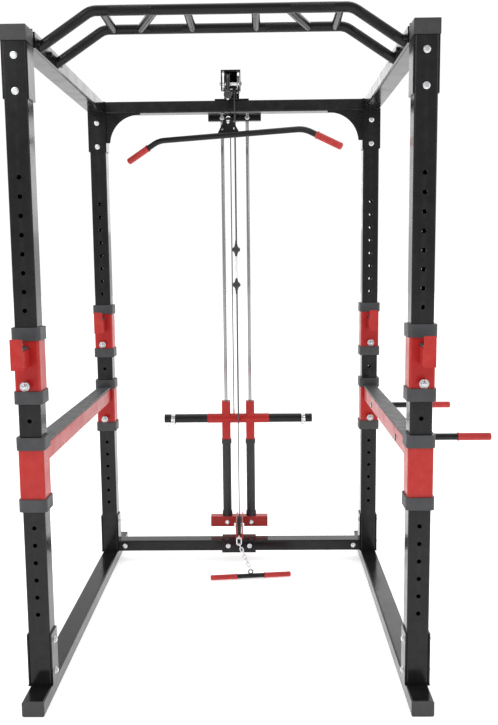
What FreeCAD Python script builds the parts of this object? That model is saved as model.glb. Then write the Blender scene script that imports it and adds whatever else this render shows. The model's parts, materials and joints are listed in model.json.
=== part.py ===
"""Power cage with a plate-loaded cable tower.

The cage is drawn with x to the right, y to the rear and z up. The drawing starts on the floor,
midway between the two front uprights; every sub-part is then placed in the part's own frame,
whose origin is on the floor under the middle of the whole object.
"""
import FreeCAD
import Part
import math
import os
from FreeCAD import Placement, Rotation, Vector
from Sketcher import Constraint

DOC = FreeCAD.newDocument("power_cage")
SHEET = DOC.addObject("Spreadsheet::Sheet", "Sheet")

# Driving dimensions, millimetres.
DIMENSIONS = {
    # frame
    "origin_x": 130.75, "origin_y": 675.0,
    "cage_width": 1208.0, "cage_depth": 1236.0, "cage_height": 2100.0,
    "tube": 70.0, "beam_tall": 50.0, "tube_wall": 3.0, "tube_corner": 6.0,
    "hole_first": 1657.0, "hole_pitch": 57.0, "hole_count": 25.0, "hole_radius": 7.0,
    "foot_front": 135.0, "foot_rear": 249.0, "plate": 5.0, "flange": 4.5,
    "base_bracket_top": 222.0, "base_bolt_low": 85.0, "base_bolt_high": 190.0,
    "top_bracket_low": 1885.0, "top_bolt_low": 1906.0, "top_bolt_high": 2008.0,
    "bolt_radius": 5.0, "bolt_gap": 0.3, "bolt_head": 9.0, "head_thick": 6.5,
    "cap_tall": 46.0,
    "gusset_long": 152.0, "gusset_drop": 127.0, "gusset_radius": 128.0,
    "crossbar_bolt_in": 34.0, "stub_long": 60.0,
    # pull-up bar
    "pullup_radius": 16.0, "pullup_wall": 3.0, "pullup_front_y": 115.0, "pullup_rear_y": 330.0,
    "pullup_height": 2172.0, "pullup_end_height": 2067.0, "pullup_bend_x": 402.0,
    "pullup_bend_radius": 60.0, "rung_radius": 14.0, "rung_outer_x": 368.0, "rung_inner_x": 106.0,
    "diagonal_front_x": 204.0, "diagonal_rear_x": 281.0,
    "pullup_plate_long": 356.0, "pullup_plate_start": 52.0, "pullup_plate_tall": 38.0,
    # cable tower
    "lane_lat": -20.0, "lane_row": 4.0, "boom_x": -8.0, "boom_wide": 56.0, "boom_tall": 62.0,
    "boom_low": 2142.0, "boom_front": 1110.0, "boom_rear": 1350.0, "boom_wall": 2.5,
    "sheave_radius": 45.0, "sheave_line": 40.0, "sheave_wide": 16.0, "axle_radius": 6.0,
    "front_sheave_y": 1121.0, "rear_sheave_y": 1295.0, "lat_sheave_z": 2152.0,
    "middle_sheave_y": 1236.0, "middle_sheave_z": 2154.0, "middle_line": 43.0,
    "low_sheave_z": 190.0, "cable_radius": 2.5,
    "tower_y": 1335.0, "rod_x": 57.0, "rod_radius": 8.0, "tower_top_low": 2030.0,
    "tower_top_thick": 30.0, "tower_top_half": 120.0, "foot_tube_half": 136.0, "foot_tube": 50.0,
    "foot_tube_low": 131.0, "sleeve_radius": 20.5, "sleeve_bore": 9.0, "bumper_radius": 24.0,
    "bumper_tall": 22.0, "sleeve_top": 557.5, "carriage_low": 558.0, "carriage_high": 742.0,
    "carriage_tube": 40.0, "post_radius": 21.0, "post_z": 657.0, "post_inner": 146.0,
    "post_outer": 350.0, "collar_x": 306.0, "post_seat": 294.0, "seat_radius": 20.8,
    # sleeves on the uprights
    "sleeve_out": 80.0, "sleeve_wall": 4.0, "ring_out": 90.0, "ring_in": 70.16, "ring_tall": 40.0,
    "sleeve_below": 20.0, "sleeve_long": 157.0, "hook_hole": 11.0, "spotter_hole": 17.0,
    "hook_wide": 36.0, "hook_reach": 75.0, "hook_aside": 7.0, "stub_low": 1085.0, "stub_high": 1143.0,
    "lip_thick": 6.0, "lip_high": 1178.0, "pad_thick": 7.0,
    "pin_radius": 6.6, "pin_fit": 0.05, "boss_radius": 11.0, "boss_long": 14.0, "knob_radius": 15.5,
    "knob_long": 22.0, "pin_tip": 10.0, "spotter_wide": 50.0, "spotter_low": 765.0, "spotter_high": 825.0,
    "liner_thick": 10.0,
    "handle_y": 300.0, "handle_z": 786.0, "handle_radius": 12.0, "handle_end": 912.0,
    "handle_grip": 116.0, "grip_thick": 3.0,
    # handles on the cables
    "lat_z": 1933.0, "lat_radius": 12.5, "lat_flat": 349.0, "lat_reach": 158.0, "lat_drop": 80.0,
    "lat_yaw": 25.0, "lat_bend": 130.0, "lat_grip": 115.0,
    "link_high": 1450.0, "link_low": 1293.0,
    "row_x": 58.0, "row_y": 985.0, "row_long": 358.0, "row_yaw": 7.0, "row_radius": 10.0,
    "row_grip": 118.0, "row_hook_y": 1098.0,
    "low_sheave_y": 1153.0, "ring": 4.0,
}


class Size:
    """A length in millimetres that keeps the sheet formula it comes from."""

    def __init__(self, text, number):
        self.text = text
        self.number = float(number)

    def __float__(self):
        return self.number

    def __add__(self, other):
        return Size("(%s + %s)" % (self.text, as_size(other).text), self.number + float(other))

    def __sub__(self, other):
        return Size("(%s - %s)" % (self.text, as_size(other).text), self.number - float(other))

    def __mul__(self, other):
        return Size("(%s * %s)" % (self.text, as_size(other).text), self.number * float(other))

    def __truediv__(self, other):
        return Size("(%s / %s)" % (self.text, as_size(other).text), self.number / float(other))

    def __neg__(self):
        return Size("(0 - %s)" % self.text, -self.number)

    def __radd__(self, other):
        return as_size(other) + self

    def __rsub__(self, other):
        return as_size(other) - self

    def __rmul__(self, other):
        return as_size(other) * self


def as_size(value):
    """A plain number as a Size; a Size stays as it is."""
    if isinstance(value, Size):
        return value
    return Size("(%.6f)" % value, value)


class Sizes:
    """The sheet's cells by name."""

    def __getattr__(self, name):
        return Size("Sheet." + name, DIMENSIONS[name])


S = Sizes()
SUB_PARTS = []


def fill_sheet():
    """Write each driving dimension into its own cell, with its name beside it."""
    for row, (name, number) in enumerate(DIMENSIONS.items(), start=1):
        SHEET.set("A%d" % row, name)
        SHEET.set("B%d" % row, repr(number))
        SHEET.setAlias("B%d" % row, name)
    DOC.recompute()


# ---------------------------------------------------------------- drawing helpers

TURN = {
    "x": Rotation(Vector(0, 1, 0), 90),
    "y": Rotation(Vector(1, 0, 0), -90),
    "z": Rotation(),
}
ACROSS = {"x": "yz", "y": "xz", "z": "xy"}


def bind(item, prop, size):
    """Drive one property by a formula on the sheet."""
    item.setExpression(prop, as_size(size).text)


def put(item, axis, start, centre):
    """Place an item that is drawn along its own Z: its start along axis, its centre across it."""
    item.Placement = Placement(Vector(), TURN[axis])
    bind(item, "Placement.Base." + axis, start)
    for letter, size in zip(ACROSS[axis], centre):
        bind(item, "Placement.Base." + letter, size)


def box(name, x, y, z):
    """A block between three pairs of faces."""
    item = DOC.addObject("Part::Box", name)
    for prop, letter, (low, high) in zip(("Length", "Width", "Height"), "xyz", (x, y, z)):
        bind(item, prop, as_size(high) - low)
        bind(item, "Placement.Base." + letter, low)
    return item


def rod(name, radius, axis, span, centre):
    """A round bar along an axis, between two ends, about a centre line."""
    item = DOC.addObject("Part::Cylinder", name)
    bind(item, "Radius", radius)
    bind(item, "Height", as_size(span[1]) - span[0])
    put(item, axis, span[0], centre)
    return item


def ball(name, radius, x, y, z):
    """A sphere about a point."""
    item = DOC.addObject("Part::Sphere", name)
    bind(item, "Radius", radius)
    for letter, size in zip("xyz", (x, y, z)):
        bind(item, "Placement.Base." + letter, size)
    return item


def fuse(name, pieces):
    """One solid from pieces that meet or overlap."""
    item = DOC.addObject("Part::MultiFuse", name)
    item.Shapes = pieces
    item.Refine = True
    return item


def group(name, pieces):
    """Separate solids that share one node."""
    item = DOC.addObject("Part::Compound", name)
    item.Links = pieces
    return item


def cut(name, base, tools):
    """A base with each tool's space taken out."""
    item = DOC.addObject("Part::Cut", name)
    item.Base = base
    item.Tool = tools[0] if len(tools) == 1 else fuse(name + "_tools", tools)
    item.Refine = True
    return item


def plane(body, role):
    """One of a body's own origin planes or axes."""
    return next(item for item in body.Origin.OriginFeatures if item.Role == role)


def new_sketch(body, name, role="XY_Plane"):
    """A sketch on one of the body's origin planes."""
    sketch = body.newObject("Sketcher::SketchObject", name)
    sketch.AttachmentSupport = [(plane(body, role), "")]
    sketch.MapMode = "FlatFace"
    return sketch


def drive(sketch, index, label, size):
    """Name a sketch dimension and drive it from the sheet."""
    sketch.renameConstraint(index, label)
    sketch.setExpression("Constraints." + label, as_size(size).text)


def draw_rounded_rectangle(sketch, label, wide, tall, corner):
    """A rectangle about the sketch's origin with quarter-round corners."""
    a, b, r = float(wide) / 2, float(tall) / 2, float(corner)
    ends = [((-a + r, -b), (a - r, -b)), ((a, -b + r), (a, b - r)),
            ((a - r, b), (-a + r, b)), ((-a, b - r), (-a, -b + r))]
    first = sketch.GeometryCount
    for start, end in ends:
        sketch.addGeometry(Part.LineSegment(Vector(*start, 0), Vector(*end, 0)), False)
    turns = [((a - r, -b + r), -90), ((a - r, b - r), 0), ((-a + r, b - r), 90), ((-a + r, -b + r), 180)]
    for (x, y), angle in turns:
        circle = Part.Circle(Vector(x, y, 0), Vector(0, 0, 1), r)
        low, high = math.radians(angle), math.radians(angle + 90)
        sketch.addGeometry(Part.ArcOfCircle(circle, low, high), False)
    for side in range(4):
        line, arc = first + side, first + 4 + side
        sketch.addConstraint(Constraint("Tangent", line, 2, arc, 1))
        sketch.addConstraint(Constraint("Tangent", arc, 2, first + (side + 1) % 4, 1))
        sketch.addConstraint(Constraint("Vertical" if side % 2 else "Horizontal", line))
        if side:
            sketch.addConstraint(Constraint("Equal", first + 4, arc))
    sketch.addConstraint(Constraint("Symmetric", first + 4, 3, first + 6, 3, -1, 1))
    across = sketch.addConstraint(Constraint("DistanceX", first + 7, 3, first + 4, 3, 2 * (a - r)))
    drive(sketch, across, label + "_wide", wide - 2 * corner)
    up = sketch.addConstraint(Constraint("DistanceY", first + 4, 3, first + 5, 3, 2 * (b - r)))
    drive(sketch, up, label + "_tall", tall - 2 * corner)
    round_off = sketch.addConstraint(Constraint("Radius", first + 4, r))
    drive(sketch, round_off, label + "_corner", corner)


def draw_circle(sketch, label, radius, x=0.0, y=0.0):
    """A circle at a driven place in the sketch."""
    circle = Part.Circle(Vector(float(x), float(y), 0), Vector(0, 0, 1), float(radius))
    index = sketch.addGeometry(circle, False)
    drive(sketch, sketch.addConstraint(Constraint("Radius", index, float(radius))),
          label + "_radius", radius)
    for kind, place, suffix in (("DistanceX", x, "_x"), ("DistanceY", y, "_y")):
        if float(place) == 0:
            sketch.addConstraint(Constraint("PointOnObject", index, 3, -2 if kind == "DistanceX" else -1))
            continue
        row = sketch.addConstraint(Constraint(kind, -1, 1, index, 3, float(place)))
        drive(sketch, row, label + suffix, place)


def pad(body, sketch, length, name="pad"):
    """Extrude a sketch along the body's Z."""
    feature = body.newObject("PartDesign::Pad", name)
    feature.Profile = sketch
    bind(feature, "Length", length)
    return feature


def pocket_through(body, sketch, name):
    """Cut a sketch right through the body, both ways."""
    feature = body.newObject("PartDesign::Pocket", name)
    feature.Profile = sketch
    feature.Type = "ThroughAll"
    feature.Midplane = True
    return feature


def tube(name, axis, span, centre, wide, tall, wall=None, corner=None):
    """A rectangular tube along an axis. wide and tall are along its own X and Y before it is turned."""
    wall = S.tube_wall if wall is None else wall
    corner = S.tube_corner if corner is None else corner
    body = DOC.addObject("PartDesign::Body", name)
    sketch = new_sketch(body, name + "_profile")
    draw_rounded_rectangle(sketch, "outer", wide, tall, corner)
    if float(wall):
        draw_rounded_rectangle(sketch, "inner", wide - 2 * wall, tall - 2 * wall, corner - wall)
    pad(body, sketch, as_size(span[1]) - span[0], name + "_pad")
    put(body, axis, span[0], centre)
    return body


def turned(name, axis, outline, start, centre):
    """A turned piece: outline is (radius, height) points up one side, closed on the axis."""
    body = DOC.addObject("PartDesign::Body", name)
    sketch = new_sketch(body, name + "_outline", "XZ_Plane")
    points = [Vector(float(radius), float(height), 0) for radius, height in outline]
    count = len(points)
    for index in range(count):
        sketch.addGeometry(Part.LineSegment(points[index], points[(index + 1) % count]), False)
    for index, (radius, height) in enumerate(outline):
        sketch.addConstraint(Constraint("Coincident", index, 2, (index + 1) % count, 1))
        for kind, size, axis_index, letter in (("DistanceX", radius, -2, "r"), ("DistanceY", height, -1, "z")):
            if abs(float(size)) < 1e-9:
                sketch.addConstraint(Constraint("PointOnObject", index, 1, axis_index))
                continue
            row = sketch.addConstraint(Constraint(kind, -1, 1, index, 1, float(size)))
            drive(sketch, row, "%s%d" % (letter, index), size)
    feature = body.newObject("PartDesign::Revolution", name + "_turn")
    feature.Profile = sketch
    feature.ReferenceAxis = (sketch, ["V_Axis"])
    feature.Angle = 360
    put(body, axis, start, centre)
    return body


def finish(item, label):
    """Name a sub-part and move it from the drawing's origin to the part's own."""
    item.Label = label
    for letter, shift in (("x", S.origin_x), ("y", S.origin_y)):
        driven = dict(item.ExpressionEngine)
        prop = "Placement.Base." + letter
        here = next((driven[key] for key in driven if key.lstrip(".") == prop), "0")
        item.setExpression(prop, "%s - %s" % (here, shift.text))
    SUB_PARTS.append(item)
    return item


# ---------------------------------------------------------------- shared shapes

def hex_bolt(name, axis, grip, centre):
    """A hex bolt through grip: its head on the low face and its nut on the high one."""
    low, high = as_size(grip[0]), as_size(grip[1])
    shank = rod(name + "_shank", S.bolt_radius, axis, (low, high + S.head_thick + 3), centre)
    ends = []
    for label, start in (("head", low - S.head_thick), ("nut", high)):
        prism = DOC.addObject("Part::Prism", name + "_" + label)
        prism.Polygon = 6
        bind(prism, "Circumradius", S.bolt_head)
        bind(prism, "Height", S.head_thick)
        put(prism, axis, start, centre)
        ends.append(prism)
    return fuse(name, [shank] + ends)


def torus(name, ring, wire, axis, centre):
    """A full ring of round wire about an axis."""
    item = DOC.addObject("Part::Torus", name)
    bind(item, "Radius1", ring)
    bind(item, "Radius2", wire)
    item.Placement = Placement(Vector(), TURN[axis])
    for letter, size in zip("xyz", centre):
        bind(item, "Placement.Base." + letter, size)
    return item


def elbow(name, ring, wire, centre, start, sweep):
    """Part of a ring about X: 0 is below the centre, 90 behind it, 180 above it, 270 in front."""
    item = DOC.addObject("Part::Torus", name)
    bind(item, "Radius1", ring)
    bind(item, "Radius2", wire)
    item.Angle3 = sweep
    item.Placement = Placement(Vector(), TURN["x"].multiply(Rotation(Vector(0, 0, 1), start)))
    for letter, size in zip("xyz", centre):
        bind(item, "Placement.Base." + letter, size)
    return item


def long_ring(name, wire, half, length):
    """A long ring of round wire in the YZ plane, hanging down from the origin by length."""
    top, bottom = -as_size(half), as_size(half) - length
    return fuse(name, [
        elbow(name + "_foot", half, wire, (0, 0, bottom), 270, 180),
        elbow(name + "_head", half, wire, (0, 0, top), 90, 180),
        rod(name + "_gate", wire, "z", (bottom, top), (0, -as_size(half))),
        rod(name + "_spine", wire, "z", (bottom, top), (0, half)),
    ])


def bent_bar(name, corners, bend, radius, wall=None):
    """A round bar or tube bent along corners, given as (x, z), in the plane y = 0."""
    path = DOC.addObject("Sketcher::SketchObject", name + "_path")
    path.Placement = Placement(Vector(), Rotation(Vector(1, 0, 0), 90))
    spots = [Vector(float(u), float(v), 0) for u, v in corners]
    lines, arcs, at = [], [], spots[0]
    for before, here, after in zip(spots, spots[1:], spots[2:]):
        back, ahead = (before - here).normalize(), (after - here).normalize()
        half = back.getAngle(ahead) / 2
        trim = float(bend) / math.tan(half)
        centre = here + (back + ahead).normalize() * (float(bend) / math.sin(half))
        start, end = here + back * trim, here + ahead * trim
        left = back.cross(ahead).z < 0
        pair = (start, end) if left else (end, start)
        low, high = (math.atan2(spot.y - centre.y, spot.x - centre.x) for spot in pair)
        lines.append(path.addGeometry(Part.LineSegment(at, start), False))
        circle = Part.Circle(centre, Vector(0, 0, 1), float(bend))
        arcs.append((path.addGeometry(Part.ArcOfCircle(circle, low, high), False), left))
        at = end
    lines.append(path.addGeometry(Part.LineSegment(at, spots[-1]), False))
    for index, (arc, left) in enumerate(arcs):
        path.addConstraint(Constraint("Tangent", lines[index], 2, arc, 1 if left else 2))
        path.addConstraint(Constraint("Tangent", arc, 2 if left else 1, lines[index + 1], 1))
        row = path.addConstraint(Constraint("Radius", arc, float(bend)))
        drive(path, row, "bend%d" % index, bend)
    for index, (u, v) in enumerate(corners):
        spot, end = (lines[0], 1), index in (0, len(corners) - 1)
        if index == len(corners) - 1:
            spot = (lines[-1], 2)
        if not end:
            spot = (path.addGeometry(Part.Point(spots[index]), True), 1)
            path.addConstraint(Constraint("PointOnObject", spot[0], 1, lines[index - 1]))
            path.addConstraint(Constraint("PointOnObject", spot[0], 1, lines[index]))
        for kind, size, letter in (("DistanceX", u, "u"), ("DistanceY", v, "v")):
            if abs(float(size)) < 1e-9:
                path.addConstraint(Constraint("PointOnObject", *spot, -2 if letter == "u" else -1))
                continue
            row = path.addConstraint(Constraint(kind, -1, 1, *spot, float(size)))
            drive(path, row, "%s%d" % (letter, index), size)
    edges = ["Edge%d" % (index + 1) for index in range(len(lines) + len(arcs))]
    bars = []
    for label, size in [("outer", radius)] + ([("inner", radius - wall)] if wall is not None else []):
        profile = DOC.addObject("Sketcher::SketchObject", "%s_%s" % (name, label))
        profile.AttachmentSupport = [(path, "Edge1")]
        profile.MapMode = "NormalToEdge"
        draw_circle(profile, label, size)
        sweep = DOC.addObject("Part::Sweep", "%s_%s_sweep" % (name, label))
        sweep.Sections = [profile]
        sweep.Spine = (path, edges)
        sweep.Solid = True
        bars.append(sweep)
    if wall is None:
        return bars[0]
    return cut(name, bars[0], bars[1:])


def place(item, y=0.0, x=0.0, z=0.0):
    """Move an item to a point."""
    for letter, size in (("x", x), ("y", y), ("z", z)):
        bind(item, "Placement.Base." + letter, size)
    return item


def turn_about_z(item, degrees, side=1):
    """Turn an item about the upright axis, its angle driven by the sheet."""
    item.Placement.Rotation = Rotation(Vector(0, 0, side), float(degrees))
    bind(item, "Placement.Rotation.Angle", degrees)
    return item


SIDE = {"left": -1, "right": 1}
HALF = S.cage_width / 2
R = S.tube / 2


# ---------------------------------------------------------------- frame

def upright(label, x, y, top):
    """One square upright with its row of holes and the bolt holes at both ends."""
    start = as_size(55)
    body = tube(label, "z", (start, top), (x, y), S.tube, S.tube)
    row = new_sketch(body, label + "_row", "XZ_Plane")
    draw_circle(row, "hole", S.hole_radius, 0.0, S.hole_first - start)
    first = pocket_through(body, row, label + "_row_cut")
    pattern = body.newObject("PartDesign::LinearPattern", label + "_row_pattern")
    pattern.Originals = [first]
    pattern.Direction = (row, ["V_Axis"])
    pattern.Reversed = True
    bind(pattern, "Length", S.hole_pitch * (S.hole_count - 1))
    pattern.setExpression("Occurrences", "Sheet.hole_count")
    body.Tip = pattern
    for name, role, heights in (("top", "XZ_Plane", (S.top_bolt_low, S.top_bolt_high)),
                                ("foot", "YZ_Plane", (S.base_bolt_low, S.base_bolt_high))):
        sketch = new_sketch(body, label + "_" + name, role)
        for index, height in enumerate(heights):
            draw_circle(sketch, "bolt%d" % index, S.bolt_radius + S.bolt_gap, 0.0, height - start)
        pocket_through(body, sketch, label + "_" + name + "_cut")
    return finish(body, label)


def base(label, x):
    """One floor tube with the two welded brackets that hold the uprights and the crossbar's stub."""
    inner = -1 if float(x) > 0 else 1
    floor_tube = tube(label + "_tube", "y", (-(S.foot_front - 4), S.cage_depth + S.foot_rear - 4),
                      (x, S.beam_tall / 2), S.tube, S.beam_tall)
    pieces, holes = [floor_tube], []
    for index, y in enumerate((as_size(0), S.cage_depth)):
        pieces.append(box("%s_seat%d" % (label, index), (x - R - S.plate, x + R + S.plate),
                          (y - R - S.plate, y + R + S.plate), (S.beam_tall, S.beam_tall + S.plate)))
        for side in (-1, 1):
            faces = sorted((x + side * R, x + side * (R + S.plate)), key=float)
            pieces.append(box("%s_cheek%d%d" % (label, index, side + 1), faces,
                              (y - R, y + R), (S.beam_tall, S.base_bracket_top)))
        for number, height in enumerate((S.base_bolt_low, S.base_bolt_high)):
            holes.append(rod("%s_bolt%d%d" % (label, index, number), S.bolt_radius + S.bolt_gap, "x",
                             (x - R - 10, x + R + 10), (y, height)))
    ends = sorted((x + inner * (R + S.plate), x + inner * (R + S.plate + S.stub_long)), key=float)
    stub = tube(label + "_stub", "x", ends, (S.cage_depth, S.beam_tall * 1.5),
                S.beam_tall - 7, S.tube - 7)
    hole_x = x + inner * (R + S.crossbar_bolt_in)
    holes.append(rod(label + "_stub_hole", S.bolt_radius + S.bolt_gap, "y",
                     (S.cage_depth - 60, S.cage_depth + 60), (hole_x, S.beam_tall * 1.5)))
    return finish(cut(label, fuse(label + "_welded", pieces + [stub]), holes), label)


def side_beam(label, x):
    """One top side beam with the channel brackets that close round the uprights."""
    f = S.flange
    pieces = [tube(label + "_tube", "y", (R + f, S.cage_depth - R - f),
                   (x, S.cage_height - S.beam_tall / 2), S.tube, S.beam_tall)]
    holes = []
    for index, (y, way) in enumerate(((as_size(0), 1), (S.cage_depth, -1))):
        web = sorted((y + way * R, y + way * (R + f)), key=float)
        pieces.append(box("%s_web%d" % (label, index), (x - R - f, x + R + f), web,
                          (S.top_bracket_low, S.cage_height)))
        for side in (-1, 1):
            faces = sorted((x + side * R, x + side * (R + f)), key=float)
            span = sorted((y - way * (R - 5), y + way * (R + f)), key=float)
            pieces.append(box("%s_flange%d%d" % (label, index, side + 1), faces, span,
                              (S.top_bracket_low, S.cage_height - S.beam_tall)))
        for number, height in enumerate((S.top_bolt_low, S.top_bolt_high)):
            holes.append(rod("%s_bolt%d%d" % (label, index, number), S.bolt_radius + S.bolt_gap, "y",
                             (y - R - 10, y + R + 10), (x, height)))
    return finish(cut(label, fuse(label + "_welded", pieces), holes), label)


def rear_top_beam():
    """The beam across the top rear with its two curved corner plates."""
    label = "rear_top_beam"
    low = S.cage_height - S.beam_tall
    pieces = [tube(label + "_tube", "x", (-(HALF - R), HALF - R),
                   (S.cage_depth, low + S.beam_tall / 2), S.beam_tall, S.tube)]
    front = S.cage_depth - R + 5
    for side in (-1, 1):
        outer = side * (HALF - R - S.flange)
        faces = sorted((outer, outer - side * S.gusset_long), key=float)
        plate = box("gusset_plate%d" % (side + 1), faces, (front, front + S.plate),
                    (low - S.gusset_drop, low))
        scoop = rod("gusset_scoop%d" % (side + 1), S.gusset_radius, "y", (front - 10, front + 20),
                    (outer - side * (S.gusset_long - 8), low - S.gusset_drop - 8))
        pieces.append(cut("gusset%d" % (side + 1), plate, [scoop]))
    return finish(fuse(label, pieces), label)


def rear_crossbar():
    """The low bar across the rear, slid over the stubs of the two floor tubes."""
    label = "rear_crossbar"
    bar = tube(label + "_tube", "x", (-(HALF - R - S.plate), HALF - R - S.plate),
               (S.cage_depth, S.beam_tall * 1.5), S.beam_tall, S.tube)
    spots = [side * (HALF - R - S.crossbar_bolt_in) for side in (-1, 1)]
    spots += [as_size(-50), as_size(50)]
    holes = [rod("%s_hole%d" % (label, index), S.bolt_radius + S.bolt_gap, "y",
                 (S.cage_depth - 60, S.cage_depth + 60), (spot, S.beam_tall * 1.5))
             for index, spot in enumerate(spots)]
    return cut(label + "_drilled", bar, holes)


def crossbar_saddle():
    """The folded plate over the middle of the crossbar that carries the tower foot."""
    label = "crossbar_saddle"
    front, rear = S.cage_depth - R - S.plate, S.cage_depth + R + S.plate
    top = S.beam_tall * 2
    pieces = [
        box(label + "_top", (-79, 79), (front, rear), (top, top + S.plate)),
        box(label + "_front", (-79, 79), (front, front + S.plate), (43, top)),
        box(label + "_rear", (-79, 79), (rear - S.plate, rear), (43, top)),
    ]
    holes = [rod("%s_hole%d" % (label, side + 1), S.bolt_radius + S.bolt_gap, "y",
                 (front - 10, rear + 10), (side * as_size(50), S.beam_tall * 1.5)) for side in (-1, 1)]
    return cut(label, fuse(label + "_folded", pieces), holes)


def floor_caps():
    """The plugs in the four ends of the floor tubes."""
    pieces = []
    for name, side in SIDE.items():
        for where, start, way in (("front", -S.foot_front, 1), ("rear", S.cage_depth + S.foot_rear, -1)):
            face = sorted((start, start + way * 4), key=float)
            plug = sorted((start + way * 4, start + way * 22), key=float)
            centre = (side * HALF, S.beam_tall / 2)
            head = tube("cap_head_%s_%s" % (name, where), "y", face, centre, S.tube, S.beam_tall, 0)
            stem = tube("cap_stem_%s_%s" % (name, where), "y", plug, centre, S.tube - 2 * S.tube_wall,
                        S.beam_tall - 2 * S.tube_wall, 2.0, 3.0)
            pieces.append(fuse("cap_%s_%s" % (name, where), [head, stem]))
    return pieces


def upright_caps():
    """Covers over the front uprights and flat plugs in the rear ones."""
    pieces = []
    for name, side in SIDE.items():
        x = side * HALF
        outer = R + S.flange
        low = S.cage_height - S.beam_tall
        shell = box("cover_shell_" + name, (x - outer, x + outer), (-outer, R - 0.1), (low, low + S.cap_tall))
        DOC.recompute()
        rounded = DOC.addObject("Part::Fillet", "cover_rounded_" + name)
        rounded.Base = shell
        top = float(low + S.cap_tall)
        edges = [index + 1 for index, edge in enumerate(shell.Shape.Edges)
                 if all(abs(vertex.Z - top) < 0.01 for vertex in edge.Vertexes)]
        rounded.Edges = [(index, 4.0, 4.0) for index in edges]
        hollow = box("cover_hollow_" + name, (x - R - 0.3, x + R + 0.3), (-R - 0.3, R + 2),
                     (low - 1, S.cage_height - 10))
        pieces.append(cut("cover_" + name, rounded, [hollow]))
        flat = tube("plug_flat_" + name, "z", (S.cage_height - 4, S.cage_height), (x, S.cage_depth),
                    S.tube, S.tube, 0)
        stem = tube("plug_stem_" + name, "z", (S.cage_height - 24, S.cage_height - 4), (x, S.cage_depth),
                    S.tube - 2 * S.tube_wall, S.tube - 2 * S.tube_wall, 2.0, 3.0)
        pieces.append(fuse("plug_" + name, [flat, stem]))
    return pieces


def frame_bolts():
    """Every bolt that holds the welded pieces of the cage together."""
    pieces = []
    reach = R + S.plate
    for name, side in SIDE.items():
        x = side * HALF
        for index, y in enumerate((as_size(0), S.cage_depth)):
            way = 1 if index == 0 else -1
            grip = sorted((y - way * R, y + way * (R + S.flange)), key=float)
            for number, height in enumerate((S.base_bolt_low, S.base_bolt_high)):
                pieces.append(hex_bolt("foot_bolt_%s%d%d" % (name, index, number), "x",
                                       (x - reach, x + reach), (y, height)))
            for number, height in enumerate((S.top_bolt_low, S.top_bolt_high)):
                pieces.append(hex_bolt("top_bolt_%s%d%d" % (name, index, number), "y", grip, (x, height)))
        pieces.append(hex_bolt("crossbar_bolt_" + name, "y", (S.cage_depth - R, S.cage_depth + R),
                               (x - side * (R + S.crossbar_bolt_in), S.beam_tall * 1.5)))
        pieces.append(hex_bolt("saddle_bolt_" + name, "y", (S.cage_depth - reach, S.cage_depth + reach),
                               (side * as_size(50), S.beam_tall * 1.5)))
    return pieces


def pullup_tube(label, y):
    """One of the two long bent tubes of the pull-up bar, trimmed flush with its end plates."""
    end = HALF - R - 7
    over, drop = end + 12, S.pullup_end_height - 8
    corners = [(-over, drop), (-S.pullup_bend_x, S.pullup_height), (S.pullup_bend_x, S.pullup_height),
               (over, drop)]
    bar = place(bent_bar(label + "_bar", corners, S.pullup_bend_radius, S.pullup_radius, S.pullup_wall), y)
    trims = [box("%s_trim%d" % (label, side + 1), sorted((side * end, side * (end + 60)), key=float),
                 (y - 30, y + 30), (1990, 2130)) for side in (-1, 1)]
    return finish(cut(label, bar, trims), label)


def pullup_rungs():
    """The four straight and two slanting rungs between the two long tubes."""
    pieces = []
    front, rear = S.pullup_front_y, S.pullup_rear_y
    span = rear - front
    for index, x in enumerate((-S.rung_outer_x, -S.rung_inner_x, S.rung_inner_x, S.rung_outer_x)):
        pieces.append(rod("rung%d" % index, S.rung_radius, "y", (front, rear), (x, S.pullup_height)))
    for side in (-1, 1):
        shift = S.diagonal_rear_x - S.diagonal_front_x
        slant = DOC.addObject("Part::Cylinder", "diagonal%d" % (side + 1))
        bind(slant, "Radius", S.rung_radius)
        slant.setExpression("Height", "sqrt((%s)^2 + (%s)^2)" % (span.text, shift.text))
        angle = math.degrees(math.atan2(float(shift), float(span)))
        slant.Placement = Placement(Vector(), Rotation(Vector(0, 0, 1), -side * angle).multiply(TURN["y"]))
        place(slant, front, side * S.diagonal_front_x, S.pullup_height)
        pieces.append(slant)
    ends = [rod("rung_end%d" % index, S.pullup_radius, "x", (-S.pullup_bend_x, S.pullup_bend_x),
                (y, S.pullup_height)) for index, y in enumerate((front, rear))]
    trimmed = [cut("rung_cut%d" % index, piece, ends) for index, piece in enumerate(pieces)]
    return trimmed


def pullup_plates():
    """The plates that bolt the pull-up bar to the inner faces of the side beams, with their bolts."""
    pieces = []
    start = S.pullup_plate_start
    low = S.cage_height - S.beam_tall + 2
    for name, side in SIDE.items():
        faces = sorted((side * (HALF - R), side * (HALF - R - 7)), key=float)
        pieces.append(box("pullup_plate_" + name, faces, (start, start + S.pullup_plate_long),
                          (low - 4, low + 44)))
        for index, away in enumerate((30, 178, 326)):
            prism = DOC.addObject("Part::Prism", "plate_bolt_%s%d" % (name, index))
            bind(prism, "Circumradius", S.bolt_head)
            bind(prism, "Height", S.head_thick)
            inner = HALF - R - 7
            put(prism, "x", inner - S.head_thick if side > 0 else -inner, (start + away, low + 20))
            pieces.append(prism)
    plates = [fuse("pullup_plate_set_" + name, pieces[index:index + 4])
              for index, name in ((0, "left"), (4, "right"))]
    return plates


# ---------------------------------------------------------------- cable tower

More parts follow.
